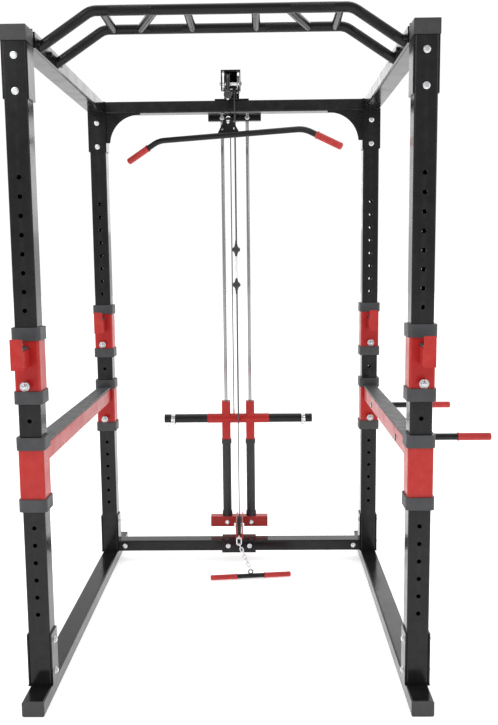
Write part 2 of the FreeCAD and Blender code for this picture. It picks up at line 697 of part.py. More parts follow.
def boom():
    """The short beam that carries the top pulleys, its saddle on the rear beam and its front strap."""
    x, low, high = S.boom_x, S.boom_low, S.boom_low + S.boom_tall
    half = S.boom_wide / 2
    body = tube("boom_tube", "y", (S.boom_front, S.boom_rear), (x, low + S.boom_tall / 2),
                S.boom_wide, S.boom_tall, S.boom_wall, 5.0)
    front, rear = S.cage_depth - R, S.cage_depth + R
    pieces = [body, box("boom_saddle", (x - 75, x + 75), (front, rear), (S.cage_height, S.cage_height + 6))]
    for side in (-1, 1):
        cheek = sorted((x + side * half, x + side * (half + S.plate)), key=float)
        pieces.append(box("boom_cheek%d" % (side + 1), cheek, (front + 4, rear - 4), (S.cage_height + 6, high)))
        leg = sorted((x + side * 37, x + side * 42), key=float)
        pieces.append(box("strap_leg%d" % (side + 1), leg, (1105, 1145), (2125, high)))
    pieces.append(box("strap_top", (x - 42, x + 42), (1105, 1145), (high, high + 4)))
    slot = box("boom_slot", (x - 25.5, x + 25.5), (S.boom_front - 5, S.boom_rear - 5), (low - 5, low + 5))
    bores = [rod("boom_bore%d" % index, S.axle_radius, "x", (x - 60, x + 60), (y, z))
             for index, (y, z) in enumerate(((S.front_sheave_y, S.lat_sheave_z),
                                             (S.middle_sheave_y, S.middle_sheave_z),
                                             (S.rear_sheave_y, S.lat_sheave_z)))]
    return cut("boom_drilled", fuse("boom_welded", pieces), [slot] + bores)


def sheave(label, line, x, y, z):
    """A grooved pulley turning about X, its cable line at a given radius."""
    rim, root, wide = line + 5, line - S.cable_radius - 0.2, S.sheave_wide
    bore = S.axle_radius + S.pin_fit
    if label == "middle_sheave":
        rim = line + 3
    outline = [(bore, 0.0), (rim, 0.0), (rim, 2.0), (root, wide / 2 - 2.8), (root, wide / 2 + 2.8),
               (rim, wide - 2), (rim, wide), (bore, wide)]
    return finish(turned(label, "x", outline, x - wide / 2, (y, z)), label)


def axle(name, sheave_x, walls, y, z):
    """A shouldered axle from wall to wall with a hex head at each end."""
    low, high = as_size(walls[0]), as_size(walls[1])
    half = S.sheave_wide / 2 + 0.2
    inner = as_size(walls[2]), as_size(walls[3])
    pieces = [
        rod(name + "_shaft", S.axle_radius, "x", (low, high), (y, z)),
        rod(name + "_left", S.axle_radius + 1.4, "x", (inner[0], sheave_x - half), (y, z)),
        rod(name + "_right", S.axle_radius + 1.4, "x", (sheave_x + half, inner[1]), (y, z)),
    ]
    for label, start in (("head", low - S.head_thick), ("nut", high)):
        prism = DOC.addObject("Part::Prism", name + "_" + label)
        bind(prism, "Circumradius", 10.0)
        bind(prism, "Height", S.head_thick)
        put(prism, "x", start, (y, z))
        pieces.append(prism)
    return fuse(name, pieces)


def sheave_axles():
    """The axles of the four pulleys."""
    x, half = S.boom_x, S.boom_wide / 2
    inside = (x - half + S.boom_wall, x + half - S.boom_wall)
    pieces = [
        axle("front_axle", S.lane_lat, (x - 42, x + 42) + inside, S.front_sheave_y, S.lat_sheave_z),
        axle("middle_axle", S.lane_row, (x - half - S.plate, x + half + S.plate) + inside,
             S.middle_sheave_y, S.middle_sheave_z),
        axle("rear_axle", S.lane_lat, (x - half, x + half) + inside, S.rear_sheave_y, S.lat_sheave_z),
        axle("low_axle", S.lane_row, (S.lane_row - 16, S.lane_row + 16, S.lane_row - 11, S.lane_row + 11),
             S.low_sheave_y, S.low_sheave_z),
    ]
    return finish(group("sheave_axles", pieces), "sheave_axles")


def guide_rods():
    """The two polished rods the weight carriage runs on."""
    low = S.foot_tube_low + 3
    pieces = [rod("guide_rod%d" % (side + 1), S.rod_radius, "z", (low, S.tower_top_low + S.tower_top_thick - 2.5),
                  (side * S.rod_x, S.tower_y)) for side in (-1, 1)]
    return finish(group("guide_rods", pieces), "guide_rods")


def tower_top():
    """The cross tube that holds the tops of the rods, hung from the boom's rear end."""
    low, thick, y = S.tower_top_low, S.tower_top_thick, S.tower_y
    bar = tube("tower_top_tube", "x", (-S.tower_top_half, S.tower_top_half), (y, low + thick / 2),
               thick, 30.0, 2.5, 4.0)
    half = S.boom_wide / 2
    hanger = box("tower_hanger", (S.boom_x - half, S.boom_x + half), (y + 15, y + 20),
                 (low, S.boom_low + S.boom_tall))
    holes = [rod("tower_top_hole%d" % (side + 1), S.rod_radius, "z", (low - 5, low + 10),
                 (side * S.rod_x, y)) for side in (-1, 1)]
    holes.append(rod("tower_cable_hole", 7.0, "z", (low - 5, low + thick + 5), (S.lane_lat, y)))
    return cut("tower_top", fuse("tower_top_welded", [bar, hanger]), holes)


def tower_foot():
    """The cross tube under the rods, with the fork that carries the low pulley over the crossbar."""
    low, size, y = S.foot_tube_low, S.foot_tube, S.tower_y
    pieces = [tube("tower_foot_tube", "x", (-(S.foot_tube_half - 4), S.foot_tube_half - 4),
                   (y, low + size / 2), size, size, 3.0, 5.0)]
    holes = [rod("tower_foot_hole%d" % (side + 1), S.rod_radius, "z", (low + size - 8, low + size + 5),
                 (side * S.rod_x, y)) for side in (-1, 1)]
    for side in (-1, 1):
        faces = sorted((S.lane_row + side * 11, S.lane_row + side * 16), key=float)
        pieces.append(box("fork%d" % (side + 1), faces, (S.low_sheave_y - 18, y - size / 2),
                          (low + 4, low + 74)))
        pieces.append(box("fork_leg%d" % (side + 1), faces, (S.cage_depth - R, S.cage_depth + R),
                          (S.beam_tall * 2 + S.plate, low + 6)))
    pieces.append(box("fork_web", (S.lane_row - 16, S.lane_row + 16), (S.cage_depth - R, S.cage_depth + R),
                      (S.beam_tall * 2 + S.plate, S.beam_tall * 2 + 10)))
    holes.append(rod("fork_bore", S.axle_radius, "x", (S.lane_row - 30, S.lane_row + 30),
                     (S.low_sheave_y, S.low_sheave_z)))
    return finish(cut("tower_foot", fuse("tower_foot_welded", pieces), holes), "tower_foot")


def tower_caps():
    """Plugs in the ends of the tower's foot tube."""
    pieces = []
    centre = (S.tower_y, S.foot_tube_low + S.foot_tube / 2)
    for side in (-1, 1):
        end = side * S.foot_tube_half
        face = sorted((end, end - side * 4), key=float)
        plug = sorted((end - side * 4, end - side * 20), key=float)
        head = tube("foot_cap%d" % (side + 1), "x", face, centre, S.foot_tube, S.foot_tube, 0, 5.0)
        stem = tube("foot_plug%d" % (side + 1), "x", plug, centre, S.foot_tube - 6, S.foot_tube - 6, 1.8, 2.0)
        pieces.append(fuse("foot_end%d" % (side + 1), [head, stem]))
    return pieces


def tower_screws():
    """The screw heads on the front of the tower's two cross tubes."""
    pieces = []
    for side in (-1, 1):
        for name, front, z in (("top", S.tower_y - 15, S.tower_top_low + S.tower_top_thick / 2),
                               ("foot", S.tower_y - S.foot_tube / 2, S.foot_tube_low + 22)):
            prism = DOC.addObject("Part::Prism", "tower_screw_%s%d" % (name, side + 1))
            bind(prism, "Circumradius", S.bolt_head)
            bind(prism, "Height", S.head_thick)
            put(prism, "y", front - S.head_thick, (side * S.rod_x, z))
            pieces.append(prism)
    return pieces


def ring_on_post(name, outer, inner, axis, span, centre):
    """A plain round sleeve."""
    hole = rod(name + "_hole", inner, axis, (as_size(span[0]) - 1, as_size(span[1]) + 1), centre)
    return cut(name, rod(name + "_body", outer, axis, span, centre), [hole])


def rod_sleeves():
    """The fixed sleeves over the lower rods that hold the parked carriage up."""
    low = S.foot_tube_low + S.foot_tube
    pieces = [ring_on_post("rod_sleeve%d" % (side + 1), S.sleeve_radius, S.sleeve_bore, "z",
                           (low, S.sleeve_top), (side * S.rod_x, S.tower_y)) for side in (-1, 1)]
    return pieces


def rod_bumpers():
    """The rubber collars at both ends of the fixed sleeves."""
    low = S.foot_tube_low + S.foot_tube
    pieces = []
    for side in (-1, 1):
        for index, start in enumerate((low, S.sleeve_top - S.bumper_tall)):
            pieces.append(ring_on_post("bumper%d%d" % (side + 1, index), S.bumper_radius, S.sleeve_radius,
                                       "z", (start, start + S.bumper_tall), (side * S.rod_x, S.tower_y)))
    return pieces


def carriage_frame():
    """The welded weight carriage: two runners, the bar across them and the two cable tabs."""
    y, low, high = S.tower_y, S.carriage_low, S.carriage_high
    size = S.carriage_tube
    pieces = [tube("runner%d" % (side + 1), "z", (low, high), (side * S.rod_x, y), size, size, 3.0, 5.0)
              for side in (-1, 1)]
    cross = ring_on_post("carriage_cross", S.post_radius + 1.5, S.post_radius - 4, "x",
                         (-S.post_inner, S.post_inner), (y, S.post_z))
    pieces.append(cross)
    pieces.append(box("lat_tab", (S.lane_lat - 3, S.lane_lat + 3), (y - 12, y + 12),
                      (S.post_z + 18, S.post_z + 43)))
    pieces.append(box("row_tab", (S.lane_row - 3, S.lane_row + 3), (S.middle_sheave_y + S.middle_line - 10, y - 18),
                      (S.post_z - 12, S.post_z + 12)))
    holes = [rod("runner_clear%d" % (side + 1), size / 2 - 3, "z", (low + 30, high - 30),
                 (side * S.rod_x, y)) for side in (-1, 1)]
    return finish(cut("carriage_frame", fuse("carriage_welded", pieces), holes), "carriage_frame")


def carriage_bushings():
    """The plastic bushings at both ends of each runner that slide on the rods."""
    pieces = []
    for side in (-1, 1):
        for index, start in enumerate((S.carriage_low, S.carriage_high - 20)):
            name = "bushing%d%d" % (side + 1, index)
            body = DOC.addObject("PartDesign::Body", name)
            sketch = new_sketch(body, name + "_profile")
            draw_rounded_rectangle(sketch, "outer", S.carriage_tube - 6, S.carriage_tube - 6, as_size(2.0))
            draw_circle(sketch, "bore", S.rod_radius + 0.08)
            pad(body, sketch, 20.0, name + "_pad")
            put(body, "z", start, (side * S.rod_x, S.tower_y))
            pieces.append(body)
    return pieces


def carriage_posts():
    """The two posts that take the weight plates, each with a seat for its collar."""
    pieces = []
    centre = (S.tower_y, S.post_z)
    for side in (-1, 1):
        plain = sorted((side * S.post_inner, side * S.post_seat), key=float)
        seat = sorted((side * S.post_seat, side * (S.post_outer - 30)), key=float)
        pieces.append(fuse("post%d" % (side + 1), [
            rod("post_plain%d" % (side + 1), S.post_radius, "x", plain, centre),
            rod("post_seat%d" % (side + 1), S.seat_radius, "x", seat, centre)]))
    return pieces


def post_caps():
    """The rounded caps on the posts' outer ends."""
    pieces = []
    for side in (-1, 1):
        end = side * S.post_outer
        face = sorted((end, end - side * 30), key=float)
        centre = (S.tower_y, S.post_z)
        pieces.append(rod("post_cap%d" % (side + 1), S.seat_radius - 0.4, "x", face, centre))
    return pieces


def post_collars():
    """The spring collars that hold the plates on the posts."""
    pieces = []
    for side in (-1, 1):
        middle = side * S.collar_x
        ring = ring_on_post("collar%d" % (side + 1), S.post_radius + 6, S.seat_radius, "x",
                            (middle - 10, middle + 10), (S.tower_y, S.post_z))
        reach = sorted((middle - side * 8, middle + side * 70), key=float)
        levers = [rod("collar_lever%d%d" % (side + 1, index), 2.0, "x", reach,
                      (S.tower_y + aside, S.post_z - 24)) for index, aside in enumerate((-10, 10))]
        pieces.append(fuse("collar_set%d" % (side + 1), [ring] + levers))
    return finish(group("post_collars", pieces), "post_collars")


# ---------------------------------------------------------------- cables and their handles

def lat_cable():
    """The cable from the lat bar over the two top pulleys and down to the carriage."""
    x, line, z = S.lane_lat, S.sheave_line, S.lat_sheave_z
    front, rear = S.front_sheave_y, S.rear_sheave_y
    pieces = [
        rod("lat_drop", S.cable_radius, "z", (2120, z), (x, front - line)),
        elbow("lat_front", line, S.cable_radius, (x, front, z), 180, 90),
        rod("lat_run", S.cable_radius, "y", (front, rear), (x, z + line)),
        elbow("lat_rear", line, S.cable_radius, (x, rear, z), 90, 90),
        rod("lat_fall", S.cable_radius, "z", (S.post_z + 43, z), (x, rear + line)),
    ]
    return finish(fuse("lat_cable", pieces), "lat_cable")


def row_cable():
    """The cable from the carriage over the middle pulley and down to the link."""
    x, line, y, z = S.lane_row, S.middle_line, S.middle_sheave_y, S.middle_sheave_z
    pieces = [
        rod("row_rise", S.cable_radius, "z", (S.post_z + 12, z), (x, y + line)),
        elbow("row_top", line, S.cable_radius, (x, y, z), 90, 180),
        rod("row_fall", S.cable_radius, "z", (S.link_high + 40, z), (x, y - line)),
    ]
    return finish(fuse("row_cable_upper", pieces), "row_cable_upper")


def row_cable_lower():
    """The cable from the link down round the low pulley to the row handle."""
    x, line, y, z = S.lane_row, S.sheave_line, S.low_sheave_y, S.low_sheave_z
    pieces = [
        rod("low_fall", S.cable_radius, "z", (z, S.link_low - 40), (x, y + line)),
        elbow("low_bend", line, S.cable_radius, (x, y, z), 0, 90),
        rod("low_run", S.cable_radius, "y", (S.row_hook_y + 10, y), (x, z - line)),
    ]
    return finish(fuse("row_cable_lower", pieces), "row_cable_lower")


def cable_link():
    """The two stops and the long ring that join the upper and lower row cables."""
    x, y = S.lane_row, S.middle_sheave_y - S.middle_line
    stops = []
    for name, middle in (("upper", S.link_high), ("lower", S.link_low)):
        outline = [(0.0, -40.0), (4.0, -40.0), (8.0, -14.0), (18.0, -5.0), (18.0, 5.0), (8.0, 14.0),
                   (4.0, 40.0), (0.0, 40.0)]
        stops.append(turned("stop_" + name, "z", outline, middle, (x, y)))
    ring = long_ring("link_ring", 4.0, 12.0, S.link_high - S.link_low - 62)
    place(ring, y, x, S.link_high - 31)
    return finish(group("cable_link", stops + [ring]), "cable_link")


def lat_stop():
    """The ball that stops the lat cable under its pulley, and the eye below it."""
    pieces = [
        ball("lat_ball", 18.0, 0.0, 0.0, 2102.0),
        torus("lat_eye", 9.0, 2.5, "y", (0.0, 0.0, 2073.0)),
    ]
    return fuse("lat_stop", pieces)


def lat_snap_hook():
    """The snap hook between the cable's eye and the bar's hanger plate."""
    return place(long_ring("lat_snap_hook", 4.0, 14.0, 76.7), z=2070.5)


def lat_hook():
    """The ball stop with its eye and snap hook, turned square to the lat bar's hanger plate."""
    item = place(group("lat_hook", [lat_stop(), lat_snap_hook()]), S.front_sheave_y - S.sheave_line, S.lane_lat)
    return finish(turn_about_z(item, S.lat_yaw, -1), "lat_hook")


def flat_plate(name, outline, thick, holes):
    """A flat plate in the plane y = 0 with round holes."""
    body = DOC.addObject("PartDesign::Body", name)
    sketch = new_sketch(body, name + "_outline", "XZ_Plane")
    count = len(outline)
    spots = [Vector(float(u), float(v), 0) for u, v in outline]
    for index in range(count):
        sketch.addGeometry(Part.LineSegment(spots[index], spots[(index + 1) % count]), False)
    for index, (u, v) in enumerate(outline):
        sketch.addConstraint(Constraint("Coincident", index, 2, (index + 1) % count, 1))
        row = sketch.addConstraint(Constraint("DistanceX", -1, 1, index, 1, float(u)))
        drive(sketch, row, "u%d" % index, u)
        row = sketch.addConstraint(Constraint("DistanceY", -1, 1, index, 1, float(v)))
        drive(sketch, row, "v%d" % index, v)
    for index, (radius, u, v) in enumerate(holes):
        draw_circle(sketch, "hole%d" % index, radius, u, v)
    pad(body, sketch, thick, name + "_pad").Midplane = True
    return body


def lat_bar():
    """The wide pull-down bar with its triangular hanger plate."""
    z, flat, reach = S.lat_z, S.lat_flat, S.lat_reach
    corners = [(-(flat + reach), z - S.lat_drop), (-flat, z), (flat, z), (flat + reach, z - S.lat_drop)]
    bar = bent_bar("lat_tube", corners, S.lat_bend, S.lat_radius, 2.5)
    plate = flat_plate("lat_hanger", [(-50, z + 11), (50, z + 11), (14, z + 72), (-14, z + 72)], 6.0,
                       [(9.0, 0.0, z + 57), (5.0, -28.0, z + 26), (5.0, 28.0, z + 26)])
    item = fuse("lat_bar", [bar, plate])
    place(item, S.front_sheave_y - S.sheave_line, S.lane_lat)
    return finish(turn_about_z(item, S.lat_yaw, -1), "lat_bar")


def lat_bar_grips():
    """The rubber grips over both drooping ends of the lat bar."""
    reach, drop = S.lat_reach, S.lat_drop
    length = Size("sqrt(Sheet.lat_reach^2 + Sheet.lat_drop^2)", math.hypot(float(reach), float(drop)))
    slope = math.degrees(math.atan2(float(drop), float(reach)))
    pieces = []
    for side in (-1, 1):
        parts = []
        for name, radius, back, long in (("body", S.lat_radius + 3.5, S.lat_grip, S.lat_grip + 4),
                                         ("bore", S.lat_radius, S.lat_grip, S.lat_grip)):
            item = DOC.addObject("Part::Cylinder", "lat_grip_%s%d" % (name, side + 1))
            bind(item, "Radius", radius)
            bind(item, "Height", long)
            item.Placement = Placement(Vector(), Rotation(Vector(0, 1, 0), side * (90 + slope)))
            along = S.lat_flat + reach - back * reach / length
            place(item, 0.0, side * along, S.lat_z - drop + back * drop / length)
            parts.append(item)
        pieces.append(cut("lat_grip%d" % (side + 1), parts[0], [parts[1]]))
    item = group("lat_bar_grips", pieces)
    place(item, S.front_sheave_y - S.sheave_line, S.lane_lat)
    return finish(turn_about_z(item, S.lat_yaw, -1), "lat_bar_grips")


def row_eye():
    """The crimped eye at the end of the row cable."""
    x, y, z = S.lane_row, S.row_hook_y, S.low_sheave_z - S.sheave_line
    pieces = [
        torus("row_ring", 7.0, 2.5, "x", (x, y, z)),
        rod("row_crimp", 4.0, "y", (y + 6, y + 10), (x, z)),
    ]
    return finish(fuse("row_eye", pieces), "row_eye")


def chain_spot(step, count):
    """A point along the chain, from the snap hook's foot to the row bar's eye."""
    z0 = S.low_sheave_z - S.sheave_line - 36 + 5
    spots = []
    for low, high in ((S.lane_row, S.row_x), (S.row_hook_y, S.row_y), (z0, S.row_radius + S.grip_thick + S.row_radius + 18.3)):
        spots.append(low + (high - low) * (step / count))
    return spots


def row_snap_hook():
    """The snap hook that hangs in the row cable's eye."""
    z = S.low_sheave_z - S.sheave_line
    ring = long_ring("row_snap_hook", 3.0, 10.0, 36.0)
    ring.Placement = Placement(Vector(), Rotation(Vector(0, 0, 1), 90))
    place(ring, S.row_hook_y, S.lane_row, z)
    return ring


def row_chain():
    """The short chain from the snap hook down to the row bar."""
    count = 7
    first, last = ([float(size) for size in chain_spot(step, count)] for step in (0, count))
    along = Vector(*last) - Vector(*first)
    pitch = along.Length / count
    links = []
    for index in range(count):
        link = long_ring("chain_link%d" % index, 2.5, 6.5, pitch + 4.9)
        turn = Rotation(Vector(0, 0, -1), along).multiply(Rotation(Vector(0, 0, 1), 90 * index))
        link.Placement = Placement(Vector(), turn)
        x, y, z = chain_spot(index, count)
        place(link, y, x, z)
        links.append(link)
    return fuse("chain_links", links)


def row_bar():
    """The short row bar with the eye in its middle."""
    radius, half = S.row_radius, S.row_long / 2
    pieces = [
        rod("row_tube", radius, "x", (-(half - 3), half - 3), (0, 0)),
        torus("row_bar_eye", 9.5, 2.5, "y", (0, 0, radius + 9)),
    ]
    item = place(fuse("row_bar", pieces), S.row_y, S.row_x, S.row_radius + S.grip_thick)
    return finish(turn_about_z(item, S.row_yaw), "row_bar")


def row_bar_grips():
    """The grips on both ends of the row bar."""
    radius, half = S.row_radius, S.row_long / 2
    pieces = []
    for side in (-1, 1):
        outer = sorted((side * half, side * (half - S.row_grip)), key=float)
        inner = sorted((side * (half - 3), side * (half - S.row_grip - 1)), key=float)
        pieces.append(cut("row_grip%d" % (side + 1),
                          rod("row_grip_body%d" % (side + 1), radius + S.grip_thick, "x", outer, (0, 0)),
                          [rod("row_grip_bore%d" % (side + 1), radius, "x", inner, (0, 0))]))
    item = place(group("row_bar_grips", pieces), S.row_y, S.row_x, S.row_radius + S.grip_thick)
    return finish(turn_about_z(item, S.row_yaw), "row_bar_grips")


# ---------------------------------------------------------------- sleeves on the uprights

def sleeve_pieces(name, x, y, pin_z, way):
    """A sleeve round an upright with the boss of its pin on the face way points to, and the bores."""
    low = pin_z - S.sleeve_below
    sleeve = tube(name + "_sleeve", "z", (low, low + S.sleeve_long), (x, y), S.sleeve_out, S.sleeve_out,
                  S.sleeve_wall, 8.0)
    face = y + way * S.sleeve_out / 2
    span = sorted((face, face + way * S.boss_long), key=float)
    boss = rod(name + "_boss", S.boss_radius, "y", span, (x, pin_z))
    reach = sorted((y + way * 32, face + way * 60), key=float)
    bore = rod(name + "_bore", S.pin_radius + S.pin_fit, "y", reach, (x, pin_z))
    return [sleeve, boss], bore


def collars(name, x, y, pin_z):
    """The plastic collars that line both ends of a sleeve."""
    low = pin_z - S.sleeve_below
    wall = (S.ring_out - S.ring_in) / 2
    return [tube("%s_collar%d" % (name, index), "z", (start, start + S.ring_tall), (x, y),
                 S.ring_out, S.ring_out, wall, 14.0)
            for index, start in enumerate((low - S.ring_tall, low + S.sleeve_long))]


def pin(label, x, y, pin_z, way):
    """A spring pull pin: its shank through the boss into the upright, and a round knob."""
    tip = y + way * (R - S.pin_tip)
    face = y + way * (S.sleeve_out / 2 + S.boss_long + 4)
    shank = rod(label + "_shank", S.pin_radius, "y", sorted((tip, face + way * 2), key=float), (x, pin_z))
    knob = rod(label + "_knob", S.knob_radius, "y", sorted((face, face + way * S.knob_long), key=float),
               (x, pin_z))
    return finish(fuse(label, [shank, knob]), label)


def hook(label, x, y):
    """One bar hook: sleeve, stub and lip, its collars and pad, and its pin."""
    pin_z = S.hole_first - S.hole_pitch * S.hook_hole
    side = -1 if float(x) < 0 else 1
    pieces, bore = sleeve_pieces(label, x, y, pin_z, -1)
    face = y - S.sleeve_out / 2
    middle = x + side * S.hook_aside
    half = S.hook_wide / 2
    reach = face - S.hook_reach
    pieces.append(tube(label + "_stub", "y", (reach, face), (middle, (S.stub_low + S.stub_high) / 2),
                       S.hook_wide, S.stub_high - S.stub_low, 3.0, 5.0))
    pieces.append(box(label + "_lip", (middle - half, middle + half), (reach - S.lip_thick, reach),
                      (S.stub_low, S.lip_high)))
    finish(cut(label, fuse(label + "_welded", pieces), [bore]), label)
    shelf = box(label + "_shelf", (middle - half + 1, middle + half - 1), (reach, face),
                (S.stub_high, S.stub_high + S.pad_thick))
    back = box(label + "_back", (middle - half + 1, middle + half - 1), (reach, reach + S.pad_thick),
               (S.stub_high, S.lip_high - 4))
    trim = collars(label, x, y, pin_z) + [fuse(label + "_pad", [shelf, back])]
    finish(group(label + "_trim", trim), label + "_trim")
    pin(label + "_pin", x, y, pin_z, -1)


def spotter(label, x, handles):
    """One spotter arm between a front and a rear sleeve, its trim and its two pins."""
    pin_z = S.hole_first - S.hole_pitch * S.spotter_hole
    pieces, holes, trim = [], [], []
    for name, y, way in (("front", as_size(0), 1), ("rear", S.cage_depth, -1)):
        welded, bore = sleeve_pieces("%s_%s" % (label, name), x, y, pin_z, way)
        pieces += welded
        holes.append(bore)
        trim += collars("%s_%s" % (label, name), x, y, pin_z)
    half = S.sleeve_out / 2
    pieces.append(tube(label + "_arm", "y", (half, S.cage_depth - half),
                       (x, (S.spotter_low + S.spotter_high) / 2), S.spotter_wide,
                       S.spotter_high - S.spotter_low))
    if handles:
        for index, y in enumerate((S.handle_y, S.cage_depth - S.handle_y)):
            holes.append(rod("%s_handle_bore%d" % (label, index), S.handle_radius, "x",
                             (x - 40, x + 40), (y, S.handle_z)))
    finish(cut(label, fuse(label + "_welded", pieces), holes), label)
    liner_ends = (S.ring_out / 2 + 1, S.cage_depth - S.ring_out / 2 - 1)
    trim.append(box(label + "_liner", (x - 27, x + 27), liner_ends,
                    (S.spotter_high, S.spotter_high + S.liner_thick)))
    finish(group(label + "_trim", trim), label + "_trim")
    pin(label + "_front_pin", x, as_size(0), pin_z, 1)
    pin(label + "_rear_pin", x, S.cage_depth, pin_z, -1)


def dip_handles():
    """The two handles through the right spotter arm and the grips on them."""
    bars, grips = [], []
    start = HALF - S.spotter_wide / 2 - 2
    for index, y in enumerate((S.handle_y, S.cage_depth - S.handle_y)):
        centre = (y, S.handle_z)
        bars.append(rod("dip_bar%d" % index, S.handle_radius, "x", (start, S.handle_end - S.grip_thick), centre))
        body = rod("dip_grip_body%d" % index, S.handle_radius + S.grip_thick, "x",
                   (S.handle_end - S.handle_grip, S.handle_end), centre)
        bore = rod("dip_grip_bore%d" % index, S.handle_radius, "x",
                   (S.handle_end - S.handle_grip - 1, S.handle_end - S.grip_thick), centre)
        grips.append(cut("dip_grip%d" % index, body, [bore]))
    finish(group("dip_handles", bars), "dip_handles")
    finish(group("dip_grips", grips), "dip_grips")


# ---------------------------------------------------------------- build and write

def build():
    """Make every sub-part."""
    for name, side in SIDE.items():
        x = side * HALF
        base("base_" + name, x)
        upright("upright_front_" + name, x, as_size(0), S.cage_height - 10)
        upright("upright_rear_" + name, x, S.cage_depth, S.cage_height - 4)
        side_beam("side_beam_" + name, x)
        hook("hook_front_" + name, x, as_size(0))
        hook("hook_rear_" + name, x, S.cage_depth)
        spotter("spotter_" + name, x, side > 0)
    rear_top_beam()
    finish(group("rear_crossbar", [rear_crossbar(), crossbar_saddle()]), "rear_crossbar")
    finish(group("end_caps", floor_caps() + upright_caps() + tower_caps()), "end_caps")
    finish(group("frame_bolts", frame_bolts() + tower_screws()), "frame_bolts")
    pullup_tube("pullup_front", S.pullup_front_y)
    pullup_tube("pullup_rear", S.pullup_rear_y)
    finish(group("pullup_rungs", pullup_rungs() + pullup_plates()), "pullup_rungs")
    finish(group("boom", [boom(), tower_top()]), "boom")
    sheave("front_sheave", S.sheave_line, S.lane_lat, S.front_sheave_y, S.lat_sheave_z)
    sheave("rear_sheave", S.sheave_line, S.lane_lat, S.rear_sheave_y, S.lat_sheave_z)
    sheave("middle_sheave", S.middle_line, S.lane_row, S.middle_sheave_y, S.middle_sheave_z)
    sheave("low_sheave", S.sheave_line, S.lane_row, S.low_sheave_y, S.low_sheave_z)
    sheave_axles()
    guide_rods()
    tower_foot()
    finish(group("rod_sleeves", rod_sleeves() + rod_bumpers()), "rod_sleeves")
    carriage_frame()
    finish(group("carriage_posts", carriage_posts() + post_caps() + carriage_bushings()), "carriage_posts")
    post_collars()
    lat_cable()
    row_cable()
    row_cable_lower()
    cable_link()
    lat_hook()
    lat_bar()
    lat_bar_grips()
    row_eye()
    finish(group("row_chain", [row_snap_hook(), row_chain()]), "row_chain")
    row_bar()
    row_bar_grips()
    dip_handles()


def write():
    """Check every object and shape, then write one STEP file per sub-part."""
    DOC.recompute()
    for item in DOC.Objects:
        if "Invalid" in item.State or "Error" in item.State:
            raise RuntimeError("%s did not compute: %s" % (item.Name, item.State))
    os.makedirs("parts", exist_ok=True)
    for item in SUB_PARTS:
        shape = item.Shape
        if shape.isNull() or not shape.isValid() or not shape.Solids:
            raise RuntimeError("%s has no sound solid" % item.Label)
        shape.exportStep("parts/%s.step" % item.Label)


fill_sheet()
build()
write()
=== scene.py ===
"""Looks of the power cage: detailed pieces, procedural materials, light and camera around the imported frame."""
import json
import math

import bmesh
import bpy
from mathutils import Matrix, Vector


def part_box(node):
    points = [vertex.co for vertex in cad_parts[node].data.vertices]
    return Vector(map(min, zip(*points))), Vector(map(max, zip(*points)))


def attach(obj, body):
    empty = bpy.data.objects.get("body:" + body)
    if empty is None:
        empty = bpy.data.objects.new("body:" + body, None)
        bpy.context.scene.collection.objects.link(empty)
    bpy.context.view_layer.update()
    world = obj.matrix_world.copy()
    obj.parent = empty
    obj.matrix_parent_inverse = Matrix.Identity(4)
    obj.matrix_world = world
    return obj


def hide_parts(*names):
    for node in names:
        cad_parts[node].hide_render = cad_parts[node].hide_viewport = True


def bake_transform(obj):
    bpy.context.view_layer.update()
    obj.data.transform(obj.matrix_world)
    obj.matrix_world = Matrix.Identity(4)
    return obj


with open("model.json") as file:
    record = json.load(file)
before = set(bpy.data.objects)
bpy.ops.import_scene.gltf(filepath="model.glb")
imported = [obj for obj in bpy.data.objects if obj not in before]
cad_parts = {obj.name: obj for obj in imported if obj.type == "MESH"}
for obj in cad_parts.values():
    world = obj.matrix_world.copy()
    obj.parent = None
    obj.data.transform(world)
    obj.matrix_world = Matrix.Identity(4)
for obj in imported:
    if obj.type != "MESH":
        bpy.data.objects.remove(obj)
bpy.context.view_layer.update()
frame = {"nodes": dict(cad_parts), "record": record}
NODES = frame["nodes"]

MM = 0.001
TAU = 2 * math.pi


def centre(node):
    """The middle of a CAD node's box."""
    low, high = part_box(node)
    return (Vector(low) + Vector(high)) / 2


def side_of(node, axis, high=True):
    """One face of a CAD node's box, in metres."""
    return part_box(node)[1 if high else 0][axis]


def span(node, axis):
    """The size of a CAD node's box along an axis."""
    return side_of(node, axis) - side_of(node, axis, False)


# ---------------------------------------------------------------- materials

